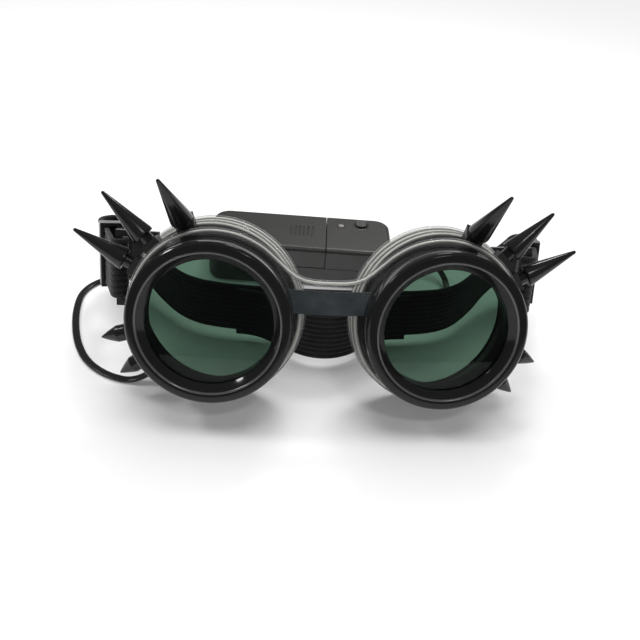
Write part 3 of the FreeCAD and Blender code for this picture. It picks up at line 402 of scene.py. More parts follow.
LENS_GREEN = ClearFinish("lens_tint", (0.090, 0.160, 0.116), 0.015, 1.50, shine=0.3)
# Grey sheath colour, opaque towards the tube's edges: a painted reflection of dark surroundings along the
# strand's sides.
WIRE_CLEAR = SheathFinish("wire_sheath", (0.24, 0.25, 0.245), 0.07, 0.16, 0.85)
LAMP_CLEAR = ClearFinish("lamp_clear", (0.85, 0.80, 0.76), 0.12, 1.50, transmission=0.7)
WEBBING = ClothFinish("ribbed_elastic", (0.017, 0.017, 0.018), 0.78, 1500.0, 0.0002)
NOSE_CLOTH = ClothFinish("nose_band_cloth", (0.047, 0.057, 0.062), 0.86, 1900.0, 0.0003, sheen=0.3)

AnyFinish = Finish | ClearFinish | SheathFinish | ClothFinish


@dataclass(frozen=True)
class Stance:
    """How the cups and the pack stand, in millimetres and degrees."""

    ring_spacing: float = 86.8
    lens_tilt: float = 20.0
    cup_splay: float = 3.0
    ring_line: float = -59.9532
    ring_height: float = 42.0033
    shoulder: float = 12.3
    barrel_front: float = 30.0
    flare: float = math.tan(math.radians(9.6))
    pack_x: float = -8.5
    pack_y: float = 110.0
    pack_yaw: float = -3.0

    def cup(self, side: Side) -> Matrix:
        """Cup frame: X right, Y down the lens, Z backwards.

        Args:
            side: Which cup.

        Returns:
            Matrix from millimetres in the cup to metres in the object.
        """
        place = Vector((side.value * self.ring_spacing / 2, self.ring_line, self.ring_height)) * MM
        turn = Matrix.Rotation(math.radians(side.value * self.cup_splay), 4, "Z")
        lean = Matrix.Rotation(-math.radians(90 + self.lens_tilt), 4, "X")
        return Matrix.Translation(place) @ turn @ lean @ Matrix.Scale(MM, 4)

    def pack(self) -> Matrix:
        """Matrix from millimetres in the pack to metres in the object."""
        place = Vector((self.pack_x, self.ring_line + self.pack_y, 0)) * MM
        turn = Matrix.Rotation(math.radians(self.pack_yaw), 4, "Z")
        return Matrix.Translation(place) @ turn @ Matrix.Scale(MM, 4)

    def table(self, x: float, y: float, z: float) -> Vector:
        """Point counted from the ring line in millimetres, in metres."""
        return Vector((x, self.ring_line + y, z)) * MM

    def barrel(self, depth: float) -> float:
        """Outer radius of a barrel at a depth, in millimetres."""
        return self.barrel_front + (depth - self.shoulder) * self.flare

    @staticmethod
    def polar(side: Side, radius: float, angle: float, depth: float) -> Vector:
        """Point in a cup frame, its angle in degrees upwards from the temple.

        Args:
            side: Which cup.
            radius: Distance from the cup's axis.
            angle: Degrees from the temple, upwards positive.
            depth: Distance behind the ring's front.

        Returns:
            Point in millimetres in the cup frame.
        """
        turn = math.radians(angle)
        return Vector((side.value * radius * math.cos(turn), -radius * math.sin(turn), depth))

    def on_barrel(self, side: Side, angle: float, depth: float, lean: float) -> Matrix:
        """Frame on a barrel with Z out along a spike.

        Args:
            side: Which cup.
            angle: Degrees from the temple, upwards positive.
            depth: Distance behind the ring's front.
            lean: Degrees that the spike leans forward.

        Returns:
            Matrix from millimetres at the spike's foot to metres in the object.
        """
        out = self.polar(side, 1.0, angle, 0.0)
        back = Vector((0, 0, 1))
        tip = math.radians(lean)
        aim = out * math.cos(tip) - back * math.sin(tip)
        along = back * math.cos(tip) + out * math.sin(tip)
        local = Matrix((along, aim.cross(along), aim)).transposed().to_4x4()
        local.translation = self.polar(side, self.barrel(depth), angle, depth)
        return self.cup(side) @ local


class Workshop:
    """Makes bmesh forms and turns them into pieces that ride on the object's bodies."""

    def __init__(self) -> None:
        """Prepare the shared effects and an empty rack of materials."""
        self.effects = SurfaceEffects()
        self.rack: dict[str, bpy.types.Material] = {}

    def material(self, finish: AnyFinish) -> bpy.types.Material:
        """Material of a finish, built once."""
        if finish.name not in self.rack:
            self.rack[finish.name] = finish.material(self.effects)
        return self.rack[finish.name]

    def paint_node(self, node: str, finish: AnyFinish) -> None:
        """Give a shown CAD node a finish."""
        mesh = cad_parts[node].data
        mesh.materials.clear()
        mesh.materials.append(self.material(finish))
        log.info("painted %s", node)

    def piece(
        self,
        name: str,
        form: bmesh.types.BMesh,
        finish: AnyFinish,
        slot: str,
        body: str = ROOT,
        nodes: Sequence[str] = (),
        smooth_angle: float = 38.0,
        even_faces: bool = False,
    ) -> bpy.types.Object:
        """Turn a bmesh into a piece.

        Args:
            name: Name of the piece.
            form: Finished bmesh in metres, freed here.
            finish: Finish of the piece.
            slot: Material slot of the record, passed on to place and not used.
            body: Body that the piece rides on.
            nodes: CAD nodes that the piece stands for.
            smooth_angle: Edges sharper than this stay sharp, in degrees.
            even_faces: Whether broad faces keep their flat shading between rounded edges.

        Returns:
            The new object.
        """
        mesh = bpy.data.meshes.new(name)
        form.to_mesh(mesh)
        form.free()
        mesh.shade_smooth()
        mesh.set_sharp_from_angle(angle=math.radians(smooth_angle))
        mesh.materials.append(self.material(finish))
        obj = self.place(bpy.data.objects.new(name, mesh), slot, body, nodes)
        if even_faces:
            obj.modifiers.new("even_faces", "WEIGHTED_NORMAL").keep_sharp = True
        return obj

    @staticmethod
    def place(obj: bpy.types.Object, slot: str, body: str, nodes: Sequence[str]) -> bpy.types.Object:
        """Link a piece, let it ride and hide the CAD nodes that it stands for.

        Args:
            obj: New object.
            slot: Material slot of the record, not used.
            body: Body that the piece rides on.
            nodes: CAD nodes that the piece stands for.

        Returns:
            The same object.
        """
        bpy.context.scene.collection.objects.link(obj)
        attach(obj, body)
        if nodes:
            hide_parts(*nodes)
        log.info("made %s", obj.name)
        return obj

    @staticmethod
    def round_edges(form: bmesh.types.BMesh, width: float, segments: int = 3, angle: float = 32.0) -> None:
        """Round every edge sharper than an angle.

        Args:
            form: Bmesh to change.
            width: Width of the rounding, in the bmesh's unit.
            segments: Faces across the rounding.
            angle: Least angle between faces, in degrees.
        """
        limit = math.radians(angle)
        edges = [e for e in form.edges if len(e.link_faces) == 2 and e.calc_face_angle(0.0) > limit]
        bmesh.ops.bevel(
            form, geom=edges, offset=width, offset_type="OFFSET", affect="EDGES",
            segments=segments, profile=0.5, material=-1, clamp_overlap=True,
        )

    def turned(
        self, profile: Profile, matrix: Matrix, steps: int = 96, soften: float = 0.0, closed: bool = False
    ) -> bmesh.types.BMesh:
        """Spin a profile about the Z axis of a frame.

        Args:
            profile: Radius and depth of each corner in millimetres.
            matrix: Frame of the axis.
            steps: Steps of a full turn.
            soften: Rounding of the sharp edges in millimetres.
            closed: Whether the profile closes on itself.

        Returns:
            The turned form in metres.
        """
        form = bmesh.new()
        corners = [form.verts.new((radius, 0.0, depth)) for radius, depth in profile]
        lines = [form.edges.new(pair) for pair in zip(corners, corners[1:])]
        if closed:
            lines.append(form.edges.new((corners[-1], corners[0])))
        bmesh.ops.spin(
            form, geom=corners + lines, cent=(0, 0, 0), axis=(0, 0, 1),
            angle=2 * math.pi, steps=steps, use_merge=True,
        )
        bmesh.ops.remove_doubles(form, verts=form.verts, dist=1e-4)
        bmesh.ops.recalc_face_normals(form, faces=form.faces)
        if soften > 0:
            self.round_edges(form, soften)
        bmesh.ops.transform(form, matrix=matrix, verts=form.verts)
        bmesh.ops.recalc_face_normals(form, faces=form.faces)
        return form

    def softened(self, node: str, width: float) -> bmesh.types.BMesh:
        """Merged copy of a CAD node with rounded edges.

        Args:
            node: Name of the CAD node.
            width: Width of the rounding in millimetres.

        Returns:
            The copy, in metres.
        """
        form = bmesh.new()
        form.from_mesh(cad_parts[node].data)
        bmesh.ops.remove_doubles(form, verts=form.verts, dist=1e-6)
        bmesh.ops.dissolve_limit(form, angle_limit=math.radians(0.5), verts=form.verts, edges=form.edges)
        self.round_edges(form, width * MM, segments=2)
        return form

    @staticmethod
    def join(form: bmesh.types.BMesh, other: bmesh.types.BMesh) -> None:
        """Add another form's faces to a form and free the other.

        Args:
            form: Bmesh that grows.
            other: Bmesh that is added.
        """
        carrier = bpy.data.meshes.new("carrier")
        other.to_mesh(carrier)
        other.free()
        form.from_mesh(carrier)
        bpy.data.meshes.remove(carrier)

    @staticmethod
    def line(points: Sequence[Vector], resolution: int) -> list[Vector]:
        """Read the smooth line of a route's NURBS spline.

        Args:
            points: Control points in metres.
            resolution: Steps of each stretch.

        Returns:
            Points along the spline.
        """
        curve = Workshop.spline_curve("route", points)
        curve.splines[0].resolution_u = resolution
        holder = bpy.data.objects.new("route", curve)
        bpy.context.scene.collection.objects.link(holder)
        depsgraph = bpy.context.evaluated_depsgraph_get()
        mesh = bpy.data.meshes.new_from_object(holder.evaluated_get(depsgraph))
        places = [vertex.co.copy() for vertex in mesh.vertices]
        bpy.data.objects.remove(holder)
        bpy.data.curves.remove(curve)
        bpy.data.meshes.remove(mesh)
        return places

    @staticmethod
    def spline_curve(name: str, points: Sequence[Vector], order: int = 3) -> bpy.types.Curve:
        """Make a curve of one open NURBS spline.

        Args:
            name: Name of the curve.
            points: Control points in metres.
            order: Order of the spline.

        Returns:
            The curve.
        """
        curve = bpy.data.curves.new(name, "CURVE")
        curve.dimensions = "3D"
        spline = curve.splines.new("NURBS")
        spline.points.add(len(points) - 1)
        for target, place in zip(spline.points, points):
            target.co = (*place, 1.0)
        spline.order_u = order
        spline.use_endpoint_u = True
        return curve

    @staticmethod
    def stations(places: Sequence[Vector], widths: Sequence[Vector]) -> list[Matrix]:
        """Frames along a line: X through the thickness, Y across the width, Z along.

        Args:
            places: Points of the line.
            widths: Way across the width at each point.

        Returns:
            One matrix for each point.
        """
        frames = []
        last = len(places) - 1
        for index, (place, width) in enumerate(zip(places, widths)):
            along = (places[min(index + 1, last)] - places[max(index - 1, 0)]).normalized()
            across = (width - along * width.dot(along)).normalized()
            station = Matrix((across.cross(along), across, along)).transposed().to_4x4()
            station.translation = place
            frames.append(station)
        return frames

    @staticmethod
    def swept(profile: Profile, frames: Sequence[Matrix]) -> bmesh.types.BMesh:
        """Carry a closed profile along frames and close its ends.

        Args:
            profile: Thickness and width place of each corner in metres.
            frames: Frames from one end to the other.

        Returns:
            The swept form.
        """
        form = bmesh.new()
        corners = [form.verts.new(frames[0] @ Vector((x, y, 0.0))) for x, y in profile]
        rim = [form.edges.new((corners[i - 1], corners[i])) for i in range(len(corners))]
        first = list(rim)
        for before, after in zip(frames, frames[1:]):
            made = bmesh.ops.extrude_edge_only(form, edges=rim)["geom"]
            fresh = {item for item in made if isinstance(item, bmesh.types.BMVert)}
            rim = [
                item for item in made
                if isinstance(item, bmesh.types.BMEdge) and item.verts[0] in fresh and item.verts[1] in fresh
            ]
            bmesh.ops.transform(form, matrix=after @ before.inverted(), verts=list(fresh))
        for edges in (first, rim):
            bmesh.ops.contextual_create(form, geom=edges)
        bmesh.ops.recalc_face_normals(form, faces=form.faces)
        return form


@dataclass
class EyeCup:
    """One cup with its screw ring, lens, gasket, face pad and spikes, in millimetres."""

    stance: Stance
    side: Side
    ring_section: Profile = (
        (26.35, 0.0), (29.1, 0.0), (30.0, 0.9), (30.0, 11.0), (26.65, 11.0),
        (26.65, 3.9), (23.2, 3.9), (23.2, 3.0), (25.75, 0.6),
    )
    # Thin bead on the inner lip that carries the painted highlight line.
    lip_section: Profile = (
        (26.45, 0.05), (26.38, -0.1), (26.22, -0.17), (26.02, -0.1),
        (25.72, 0.2), (25.65, 0.4), (25.75, 0.65), (26.3, 0.5),
    )
    lens_section: Profile = ((0.0, 4.0), (24.9, 4.0), (25.2, 4.3), (25.2, 5.7), (24.9, 6.0), (0.0, 6.0))
    gasket_section: Profile = ((24.1, 6.0), (26.3, 6.0), (26.3, 6.8), (24.1, 6.8))
    pad_section: Profile = (
        (30.4, 29.0), (33.0, 29.0), (33.3, 29.6), (33.35, 30.5), (32.9, 31.5),
        (31.8, 32.05), (30.7, 31.5), (30.25, 30.5), (30.25, 29.5),
    )
    spike_section: Profile = (
        (0.0, 0.0), (2.6, 0.0), (2.6, 2.8), (4.25, 2.8), (4.25, 3.8),
        (0.7, 23.6), (0.58, 23.95), (0.32, 24.2), (0.0, 24.3),
    )
    stud_section: Profile = (
        (0.0, 0.0), (3.25, 0.0), (3.25, 3.6), (2.62, 5.3), (1.85, 7.0), (1.05, 8.6), (0.4, 9.8), (0.0, 10.2),
    )
    block_depth: float = 18.0
    block_height: float = 4.6
    stud_depth: float = 17.3
    stud_standoff: float = 4.2
    rim_depth: float = 29.0
    rim_slope: float = math.tan(math.radians(9.2))
    rim_direction: float = 20.0
    pad_fill: float = 0.95
    barrel_rounding: float = 0.35
    block_rounding: float = 0.3

    def build(self, shop: Workshop) -> None:
        """Build every piece of this cup.

        Args:
            shop: Workshop that makes the pieces.
        """
        label = self.side.label
        axis = self.stance.cup(self.side)
        ring = shop.turned(self.ring_section, axis, steps=144, soften=0.3, closed=True)
        shop.piece("ring_" + label, ring, RING_BLACK, "ring_black", "ring_" + label, ["lens_ring_" + label])
        # The lip bead is lighter grey than the ring: a painted highlight of light caught on the inner edge.
        lip = shop.turned(self.lip_section, axis, steps=144, closed=True)
        shop.piece("lip_" + label, lip, LIP_PAINTED_HIGHLIGHT, "ring_black", "ring_" + label, smooth_angle=80.0)
        lens = shop.turned(self.lens_section, axis, steps=128)
        shop.piece("glass_" + label, lens, LENS_GREEN, "lens_green", "lens_" + label, ["lens_" + label])
        seal = shop.turned(self.gasket_section, axis, steps=128, soften=0.18, closed=True)
        shop.piece(
            "seal_" + label, seal, GASKET_BLACK, "gasket_black", "lens_" + label, ["lens_gasket_" + label]
        )
        barrel = shop.softened("eye_cup_" + label, self.barrel_rounding)
        nodes = ["eye_cup_" + label]
        shop.piece("barrel_" + label, barrel, CUP_BLACK, "cup_black", ROOT, nodes, even_faces=True)
        self.face_pad(shop, axis)
        self.spikes(shop)
        shop.paint_node("spike_screws_" + label, STEEL)

    def face_pad(self, shop: Workshop, axis: Matrix) -> None:
        """Build the soft bead on the slanted rim.

        Args:
            shop: Workshop that makes the piece.
            axis: Frame of the cup.
        """
        turn = math.radians(self.rim_direction)
        way_x = self.side.value * math.cos(turn)
        way_y = -math.sin(turn)
        slant = Matrix.Identity(4)
        slant[2][0] = self.rim_slope * way_x
        slant[2][1] = self.rim_slope * way_y
        drift = self.rim_slope * self.stance.flare * self.stance.barrel(self.rim_depth)
        shift = Matrix.Translation((way_x * drift, way_y * drift, 0.0))
        pad = shop.turned(self.pad_section, axis @ slant @ shift, steps=128, soften=0.3, closed=True)
        label = self.side.label
        piece = shop.piece(
            "pad_" + label, pad, PAD_BLACK, "pad_black", ROOT, ["face_pad_" + label], smooth_angle=60.0
        )

    def spikes(self, shop: Workshop) -> None:
        """Build the large spikes on their blocks and the small ones under them.

        Args:
            shop: Workshop that makes the pieces.
        """
        label = self.side.label
        for row in Row:
            angle, set_back, lean = row.value
            tag = f"{row.name.lower()}_{label}"
            foot = self.stance.on_barrel(self.side, angle, self.block_depth + set_back, lean)
            raised = [(radius, height + self.block_height) for radius, height in self.spike_section]
            spike = shop.turned(raised, foot, steps=96, soften=0.18)
            shop.piece("spike_" + tag, spike, SPIKE_BLACK, "spike_black", ROOT, ["large_spike_" + tag])
            block = shop.softened("spike_block_" + tag, self.block_rounding)
            nodes = ["spike_block_" + tag]
            shop.piece("foot_" + tag, block, BLOCK_BLACK, "block_black", ROOT, nodes, even_faces=True)
        for row in StudRow:
            angle = row.value[0] if self.side is Side.LEFT else row.value[1]
            tag = f"{row.name.lower()}_{label}"
            foot = self.stance.on_barrel(self.side, angle, self.stud_depth, 0.0)
            raised = [(radius, height + self.stud_standoff) for radius, height in self.stud_section]
            stud = shop.turned(raised, foot, steps=72, soften=0.2)
            nodes = ["small_spike_" + tag]
            shop.piece("stud_" + tag, stud, SPIKE_BLACK, "spike_black", ROOT, nodes, smooth_angle=14.0)


@dataclass
class LightWire:
    """Clear light wire wound on both cups and crossing over the nose, in millimetres."""

    stance: Stance
    radius: float = 1.3
    core_radius: float = 0.62
    standoff: float = 1.6
    first_depth: float = 13.9
    turns: float = 3.479
    flat_turn: float = 0.75
    sway: float = 4.0
    pitch: float = 3.2
    end_length: float = 2.6
    start_angle: float = 135.0
    steps_per_turn: int = 36
    nose_lift: float = 12.5
    nose_depth: float = 11.1
    nose_gap: float = 2.2
    sag_reach: float = 11.5
    sag_lift: float = 0.6
    junction_rounding: float = 0.3
    cap_rounding: float = 0.2

    def depth(self, turn: float) -> float:
        """Depth of the winding after a number of turns."""
        if turn <= self.flat_turn:
            return self.first_depth
        swaying = self.sway * (1.0 + math.sin(2 * math.pi * turn))
        return self.first_depth + swaying + self.pitch * (turn - self.flat_turn)

    def winding(self, side: Side) -> list[Vector]:
        """Control points of one cup's winding, from the nose to the end.

        Args:
            side: Which cup.

        Returns:
            Points in metres.
        """
        axis = self.stance.cup(side)
        count = round(self.turns * self.steps_per_turn)
        points = []
        for step in range(count + 1):
            turn = self.turns * step / count
            depth = self.depth(turn)
            radius = self.stance.barrel(depth) + self.standoff
            points.append(axis @ self.stance.polar(side, radius, self.start_angle - 360.0 * turn, depth))
        points.append(points[-1] + (points[-1] - points[-2]).normalized() * self.end_length * MM)
        return points

    def build(self, shop: Workshop) -> None:
        """Build the clear sheath and the core in it.

        Args:
            shop: Workshop that makes the pieces.
        """
        lean = math.radians(self.stance.lens_tilt)
        back = self.nose_lift * math.sin(lean) + self.nose_depth * math.cos(lean)
        rise = self.nose_lift * math.cos(lean) - self.nose_depth * math.sin(lean)
        crossing = self.stance.table(0.0, back, self.stance.ring_height + rise + self.nose_gap)
        reach, lift = self.sag_reach * MM, self.sag_lift * MM
        route = self.winding(Side.LEFT)[::-1]
        route += [crossing + Vector((-reach, 0.0, lift)), crossing, crossing + Vector((reach, 0.0, lift))]
        route += self.winding(Side.RIGHT)
        self.tube(shop, "light_wire_sheath", route, self.radius, WIRE_CLEAR, ["light_wire"])
        self.tube(shop, "light_wire_core", route, self.core_radius, WIRE_CORE, [])
        junction = shop.softened("wire_junction", self.junction_rounding)
        shop.piece("junction", junction, JUNCTION_BLACK, "junction_black", ROOT, ["wire_junction"])
        cap = shop.softened("wire_end_cap", self.cap_rounding)
        shop.piece("end_cap", cap, WIRE_CLEAR, "cap_clear", ROOT, ["wire_end_cap"])

    @staticmethod
    def tube(
        shop: Workshop, name: str, route: Sequence[Vector], radius: float, finish: AnyFinish,
        nodes: Sequence[str],
    ) -> None:
        """Build a round tube on a NURBS spline.

        Args:
            shop: Workshop that places the piece.
            name: Name of the piece.
            route: Control points in metres.
            radius: Radius in millimetres.
            finish: Finish of the tube.
            nodes: CAD nodes that the tube stands for.
        """
        curve = shop.spline_curve(name, route)
        curve.bevel_depth = radius * MM
        curve.bevel_resolution = 3
        curve.use_fill_caps = True
        curve.splines[0].resolution_u = 3
        curve.materials.append(shop.material(finish))
        shop.place(bpy.data.objects.new(name, curve), "wire_clear", ROOT, nodes)


@dataclass
class NoseBand:
    """Cloth band trapped behind both rings, in millimetres."""

    stance: Stance
    thickness: float = 1.2
    height: float = 9.0
    lift: float = 8.0
    depth: float = 11.7
    reaches: tuple[float, ...] = (22.0, 29.0, 35.5, 40.0)
    flank_share: float = 0.8
    edge_share: float = 0.55
    washer_section: Profile = ((26.7, 11.15), (29.7, 11.15), (29.7, 12.25), (26.7, 12.25))

    def build(self, shop: Workshop) -> None:
        """Build the strip and its two washers as one piece.

        Args:
            shop: Workshop that makes the piece.
        """
        route: list[Vector] = []
        widths: list[Vector] = []
        for side, reaches in ((Side.LEFT, self.reaches), (Side.RIGHT, self.reaches[::-1])):
            axis = self.stance.cup(side)
            route += [axis @ Vector((-side.value * reach, -self.lift, self.depth)) for reach in reaches]
            widths.append(axis.to_3x3() @ Vector((0.0, -1.0, 0.0)))
        line = shop.line(route, resolution=6)
        last = len(line) - 1
        ways = [widths[0].lerp(widths[1], index / last) for index in range(len(line))]
        half, tall = self.thickness / 2 * MM, self.height / 2 * MM
        edge, flank = self.edge_share * half, self.flank_share * tall
        section = (
            (-half, flank), (-edge, tall), (edge, tall), (half, flank),
            (half, -flank), (edge, -tall), (-edge, -tall), (-half, -flank),
        )
        form = shop.swept(section, shop.stations(line, ways))
        for side in Side:
            axis = self.stance.cup(side)
            shop.join(form, shop.turned(self.washer_section, axis, steps=96, soften=0.2, closed=True))
        shop.piece("nose_band", form, NOSE_CLOTH, "bridge_slate", ROOT, ["bridge_strap"])


@dataclass
class Headband:
    """Ribbed elastic headband with its folded ends, loose layer and keepers, in millimetres."""

    stance: Stance
    width: float = 24.0
    thickness: float = 1.8
    ribs: int = 10
    rib_height: float = 0.42
    rib_places: tuple[float, ...] = (0.06, 0.24, 0.5, 0.76, 0.94)
    valley_share: float = 0.9
    shoulder_share: float = 0.97
    floor_gap: float = 4.4
    bar_centre: float = 40.4527
    bar_depth: float = 32.6308
    bar_rise: float = 11.5
    swing: float = 22.0
    fold: float = 2.778
    inner_leg: float = 34.0
    outer_leg: float = 38.0
    leg_steps: tuple[float, float, float] = (6.0, 18.0, 30.0)
    leaving_upright: float = 0.35
    resolution: int = 12
    smooth_angle: float = 75.0
    keeper_rounding: float = 0.3
    lobe: tuple[tuple[float, float, float], ...] = (
        (101.5, 79.5, 0.85), (96.0, 89.5, 0.62), (83.0, 81.0, 0.33),
        (71.0, 66.0, 0.0), (58.0, 52.5, 0.0), (40.0, 48.0, 0.0),
    )
    middle: tuple[float, float] = (0.0, 46.0)
    tail: Profile = (
        (-37.0, 45.2), (-28.0, 44.8), (-18.0, 37.5), (-8.0, 30.5), (3.0, 28.8),
        (13.0, 32.5), (21.0, 40.5), (29.0, 44.8), (38.0, 45.2),
    )

    def fold_frame(self, side: Side) -> Matrix:
        """Frame at the middle of a lug's bar: X outwards, Y along the strap, Z up across it.

        Args:
            side: Which strap end.

        Returns:
            Matrix from millimetres at the bar to metres in the object.
        """
        turn = math.radians(self.swing)
        along = Vector((side.value * math.sin(turn), 0.0, math.cos(turn)))
        out = Vector((side.value * math.cos(turn), 0.0, -math.sin(turn)))
        local = Matrix((out, along, Vector((0.0, -1.0, 0.0)))).transposed().to_4x4()
        local.translation = Vector((side.value * self.bar_centre, -self.bar_rise, self.bar_depth))
        return self.stance.cup(side) @ local

    def half_route(self, side: Side) -> tuple[list[Vector], list[float]]:
        """Control points of one half from the folded end to the lobe, and how upright each is.

        Args:
            side: Which half.

        Returns:
            Points in metres, and a share from 0, in line with the fold, to 1, upright.
        """
        place = self.fold_frame(side)
        near, half_way, far = self.leg_steps
        inner = (self.inner_leg, half_way, near, -self.fold)
        outer = (-self.fold, near, half_way, far, self.outer_leg)
        flat = [(-self.fold, y) for y in inner] + [(self.fold, y) for y in outer]
        points = [place @ Vector((x, y, 0.0)) for x, y in flat]
        upright = [0.0] * (len(flat) - 1) + [self.leaving_upright]
        level = self.floor_gap + self.width / 2
        fall = points[-1].z / MM - level
        points += [self.stance.table(side.value * x, y, level + fall * left) for x, y, left in self.lobe]
        upright += [1.0] * len(self.lobe)
        return points, upright

    def section(self) -> Profile:
        """Cross-section of the ribbed elastic, in metres."""
        half = self.thickness / 2 * MM
        valley = (half - self.rib_height * MM) * self.valley_share
        shoulder = half * self.shoulder_share
        heights = (valley, shoulder, half, shoulder, valley)
        pitch = self.width / self.ribs * MM
        low = -self.width / 2 * MM
        face: list[tuple[float, float]] = []
        for rib in range(self.ribs):
            start = low + rib * pitch
            face += [(height, start + share * pitch) for height, share in zip(heights, self.rib_places)]
        return face + [(-x, y) for x, y in reversed(face)]

    def build(self, shop: Workshop) -> None:
        """Build the webbing, its loose layer and the keepers.

        Args:
            shop: Workshop that makes the pieces.
        """
        left, left_share = self.half_route(Side.LEFT)
        right, right_share = self.half_route(Side.RIGHT)
        level = self.floor_gap + self.width / 2
        route = left + [self.stance.table(*self.middle, level)] + right[::-1]
        share = left_share + [1.0] + right_share[::-1]
        tilted = self.fold_frame(Side.LEFT).to_3x3() @ Vector((0.0, 0.0, 1.0))
        line = shop.line(route, self.resolution)
        up = Vector((0.0, 0.0, 1.0))
        ways = []
        for index in range(len(line)):
            spot = index / (len(line) - 1) * (len(share) - 1)
            base = min(int(spot), len(share) - 2)
            upright = share[base] + (share[base + 1] - share[base]) * (spot - base)
            ways.append(tilted.normalized().lerp(up, upright))
        web = shop.swept(self.section(), shop.stations(line, ways))
        nodes = ["headband", "strap_end_left", "strap_end_right"]
        shop.piece("headband_webbing", web, WEBBING, "band_black", ROOT, nodes, self.smooth_angle)
        loose = shop.line([self.stance.table(x, y, level) for x, y in self.tail], self.resolution)
        layer = shop.swept(self.section(), shop.stations(loose, [up] * len(loose)))
        nodes = ["headband_tail"]
        shop.piece("headband_loose_layer", layer, WEBBING, "band_black", ROOT, nodes, self.smooth_angle)
        for side in Side:
            node = "strap_keeper_" + side.label
            keeper = shop.softened(node, self.keeper_rounding)
            name, body = "slider_" + side.label, "keeper_" + side.label
            shop.piece(name, keeper, KEEPER_BLACK, "keeper_black", body, [node], even_faces=True)


@dataclass
class BatteryPack:
    """Battery and driver pack, in millimetres in its own frame."""

    stance: Stance
    height: float = 22.0
    button_x: float = 31.0
    button_y: float = 10.0
    button_half: tuple[float, float] = (3.5, 4.3)
    lamp_x: float = 20.5
    lamp_y: float = 8.0
    dish_section: Profile = (
        (0.86, -0.2), (0.92, 0.02), (1.0, 0.22), (1.1, 0.22), (1.2, 0.02), (1.22, -0.2),
    )
    collar_section: Profile = ((1.55, -0.3), (1.6, 0.12), (1.8, 0.2), (2.05, 0.1), (2.15, -0.3))

    def build(self, shop: Workshop) -> None:
        """Build the case pieces and dress what is inside.

        Args:
            shop: Workshop that makes the pieces.
        """
        cases = (
            ("pack_base", "case_base", ROOT, PACK_BLACK, "pack_black", 0.5),
            ("pack_cover", "case_cover", ROOT, PACK_BLACK, "pack_black", 0.5),
            ("battery_door", "case_door", "battery_door", PACK_BLACK, "pack_black", 0.15),
            ("pack_button", "push_button", "pack_button", BUTTON_GREY, "button_grey", 0.35),
            ("lead_gland", "gland", ROOT, GLAND_BLACK, "lead_black", 0.25),
            ("pack_lamp", "lamp", ROOT, LAMP_CLEAR, "lamp_clear", 0.12),
        )
        for node, name, body, finish, slot, rounding in cases:
            shop.piece(name, shop.softened(node, rounding), finish, slot, body, [node], even_faces=True)
        top = self.stance.pack()
        ellipse = Matrix.Diagonal((*self.button_half, 1.0, 1.0))
        dish_place = top @ Matrix.Translation((self.button_x, self.button_y, self.height)) @ ellipse
        dish = shop.turned(self.dish_section, dish_place, steps=64, closed=True)
        shop.piece("button_rim", dish, PACK_BLACK, "pack_black", ROOT)
        collar_place = top @ Matrix.Translation((self.lamp_x, self.lamp_y, self.height))
        collar = shop.turned(self.collar_section, collar_place, steps=48, closed=True)
        shop.piece("lamp_collar", collar, PACK_BLACK, "pack_black", ROOT)
        inside = (
            ("battery_cell_front", CELL_JACKET),
            ("battery_cell_rear", CELL_JACKET),
            ("battery_contacts", CONTACT_PLATE),
            ("driver_board", BOARD_GREEN),
            ("driver_coil", COIL_BROWN),
            ("case_screws", STEEL),
        )
        for node, finish in inside:
            shop.paint_node(node, finish)


@dataclass
class SupplyLead:
    """Flat twin lead from the pack to the wire junction, in millimetres."""

    stance: Stance
    width: float = 3.2
    length: float = 323.1
    floor: float = 0.85
    from_pack: tuple[tuple[float, float, float], ...] = ((51.0, 6.0, 11.0), (60.0, 6.0, 11.0))
    fall: tuple[tuple[float, float, float], ...] = ((63.5, 106.5, 7.2), (68.0, 95.5, 3.6))
    on_floor: Profile = (
        (65.0, 83.5), (55.0, 75.5), (40.0, 72.5), (18.0, 73.5), (-6.0, 76.0), (-30.0, 80.0), (-52.0, 86.0),
        (-72.0, 91.5), (-91.0, 93.5), (-107.0, 89.0), (-113.5, 78.0), (-112.5, 64.0), (-109.5, 51.0),
        (-105.0, 38.0), (-98.0, 26.0), (-87.0, 17.5),
    )
    end: tuple[float, float, float] = (-68.885, 16.234, 5.588)
    outward: tuple[float, float, float] = (-0.7937, -0.1728, -0.5832)
    waist_height: float = 0.55
    waist_half: float = 0.12

    def build(self, shop: Workshop) -> None:
        """Args:
            shop: Workshop that makes the piece.
        """
        pack = self.stance.pack()
        route = [pack @ Vector(point) for point in self.from_pack]
        route += [self.stance.table(*point) for point in self.fall]
        route += [self.stance.table(x, y, self.floor) for x, y in self.on_floor]
        reach = (self.end[2] - self.floor) / abs(self.outward[2])
        route.append(self.stance.table(*(Vector(self.end) + Vector(self.outward) * reach)))
        route.append(self.stance.table(*self.end))
        line = shop.line(route, resolution=8)
        last = len(line) - 1
        up = Vector((0.0, 0.0, 1.0))
        ways = [up.cross(line[min(i + 1, last)] - line[max(i - 1, 0)]) for i in range(last + 1)]
        quarter = self.width / 4 * MM
        half_turn = [math.radians(angle) for angle in range(-75, 76, 30)]
        bulge = [(quarter * math.sin(turn), quarter * (1.0 + math.cos(turn))) for turn in half_turn]
        waist_x, waist_y = self.waist_height * quarter, self.waist_half * quarter
        waist = [(waist_x, waist_y), (waist_x, -waist_y)]
        section = bulge + waist + [(-x, -y) for x, y in bulge] + [(-x, -y) for x, y in waist]
        twin = shop.swept(section, shop.stations(line, ways))
        nodes = ["supply_lead"]
        lead = shop.piece("twin_lead", twin, LEAD_BLACK, "lead_black", ROOT, nodes, smooth_angle=60.0)


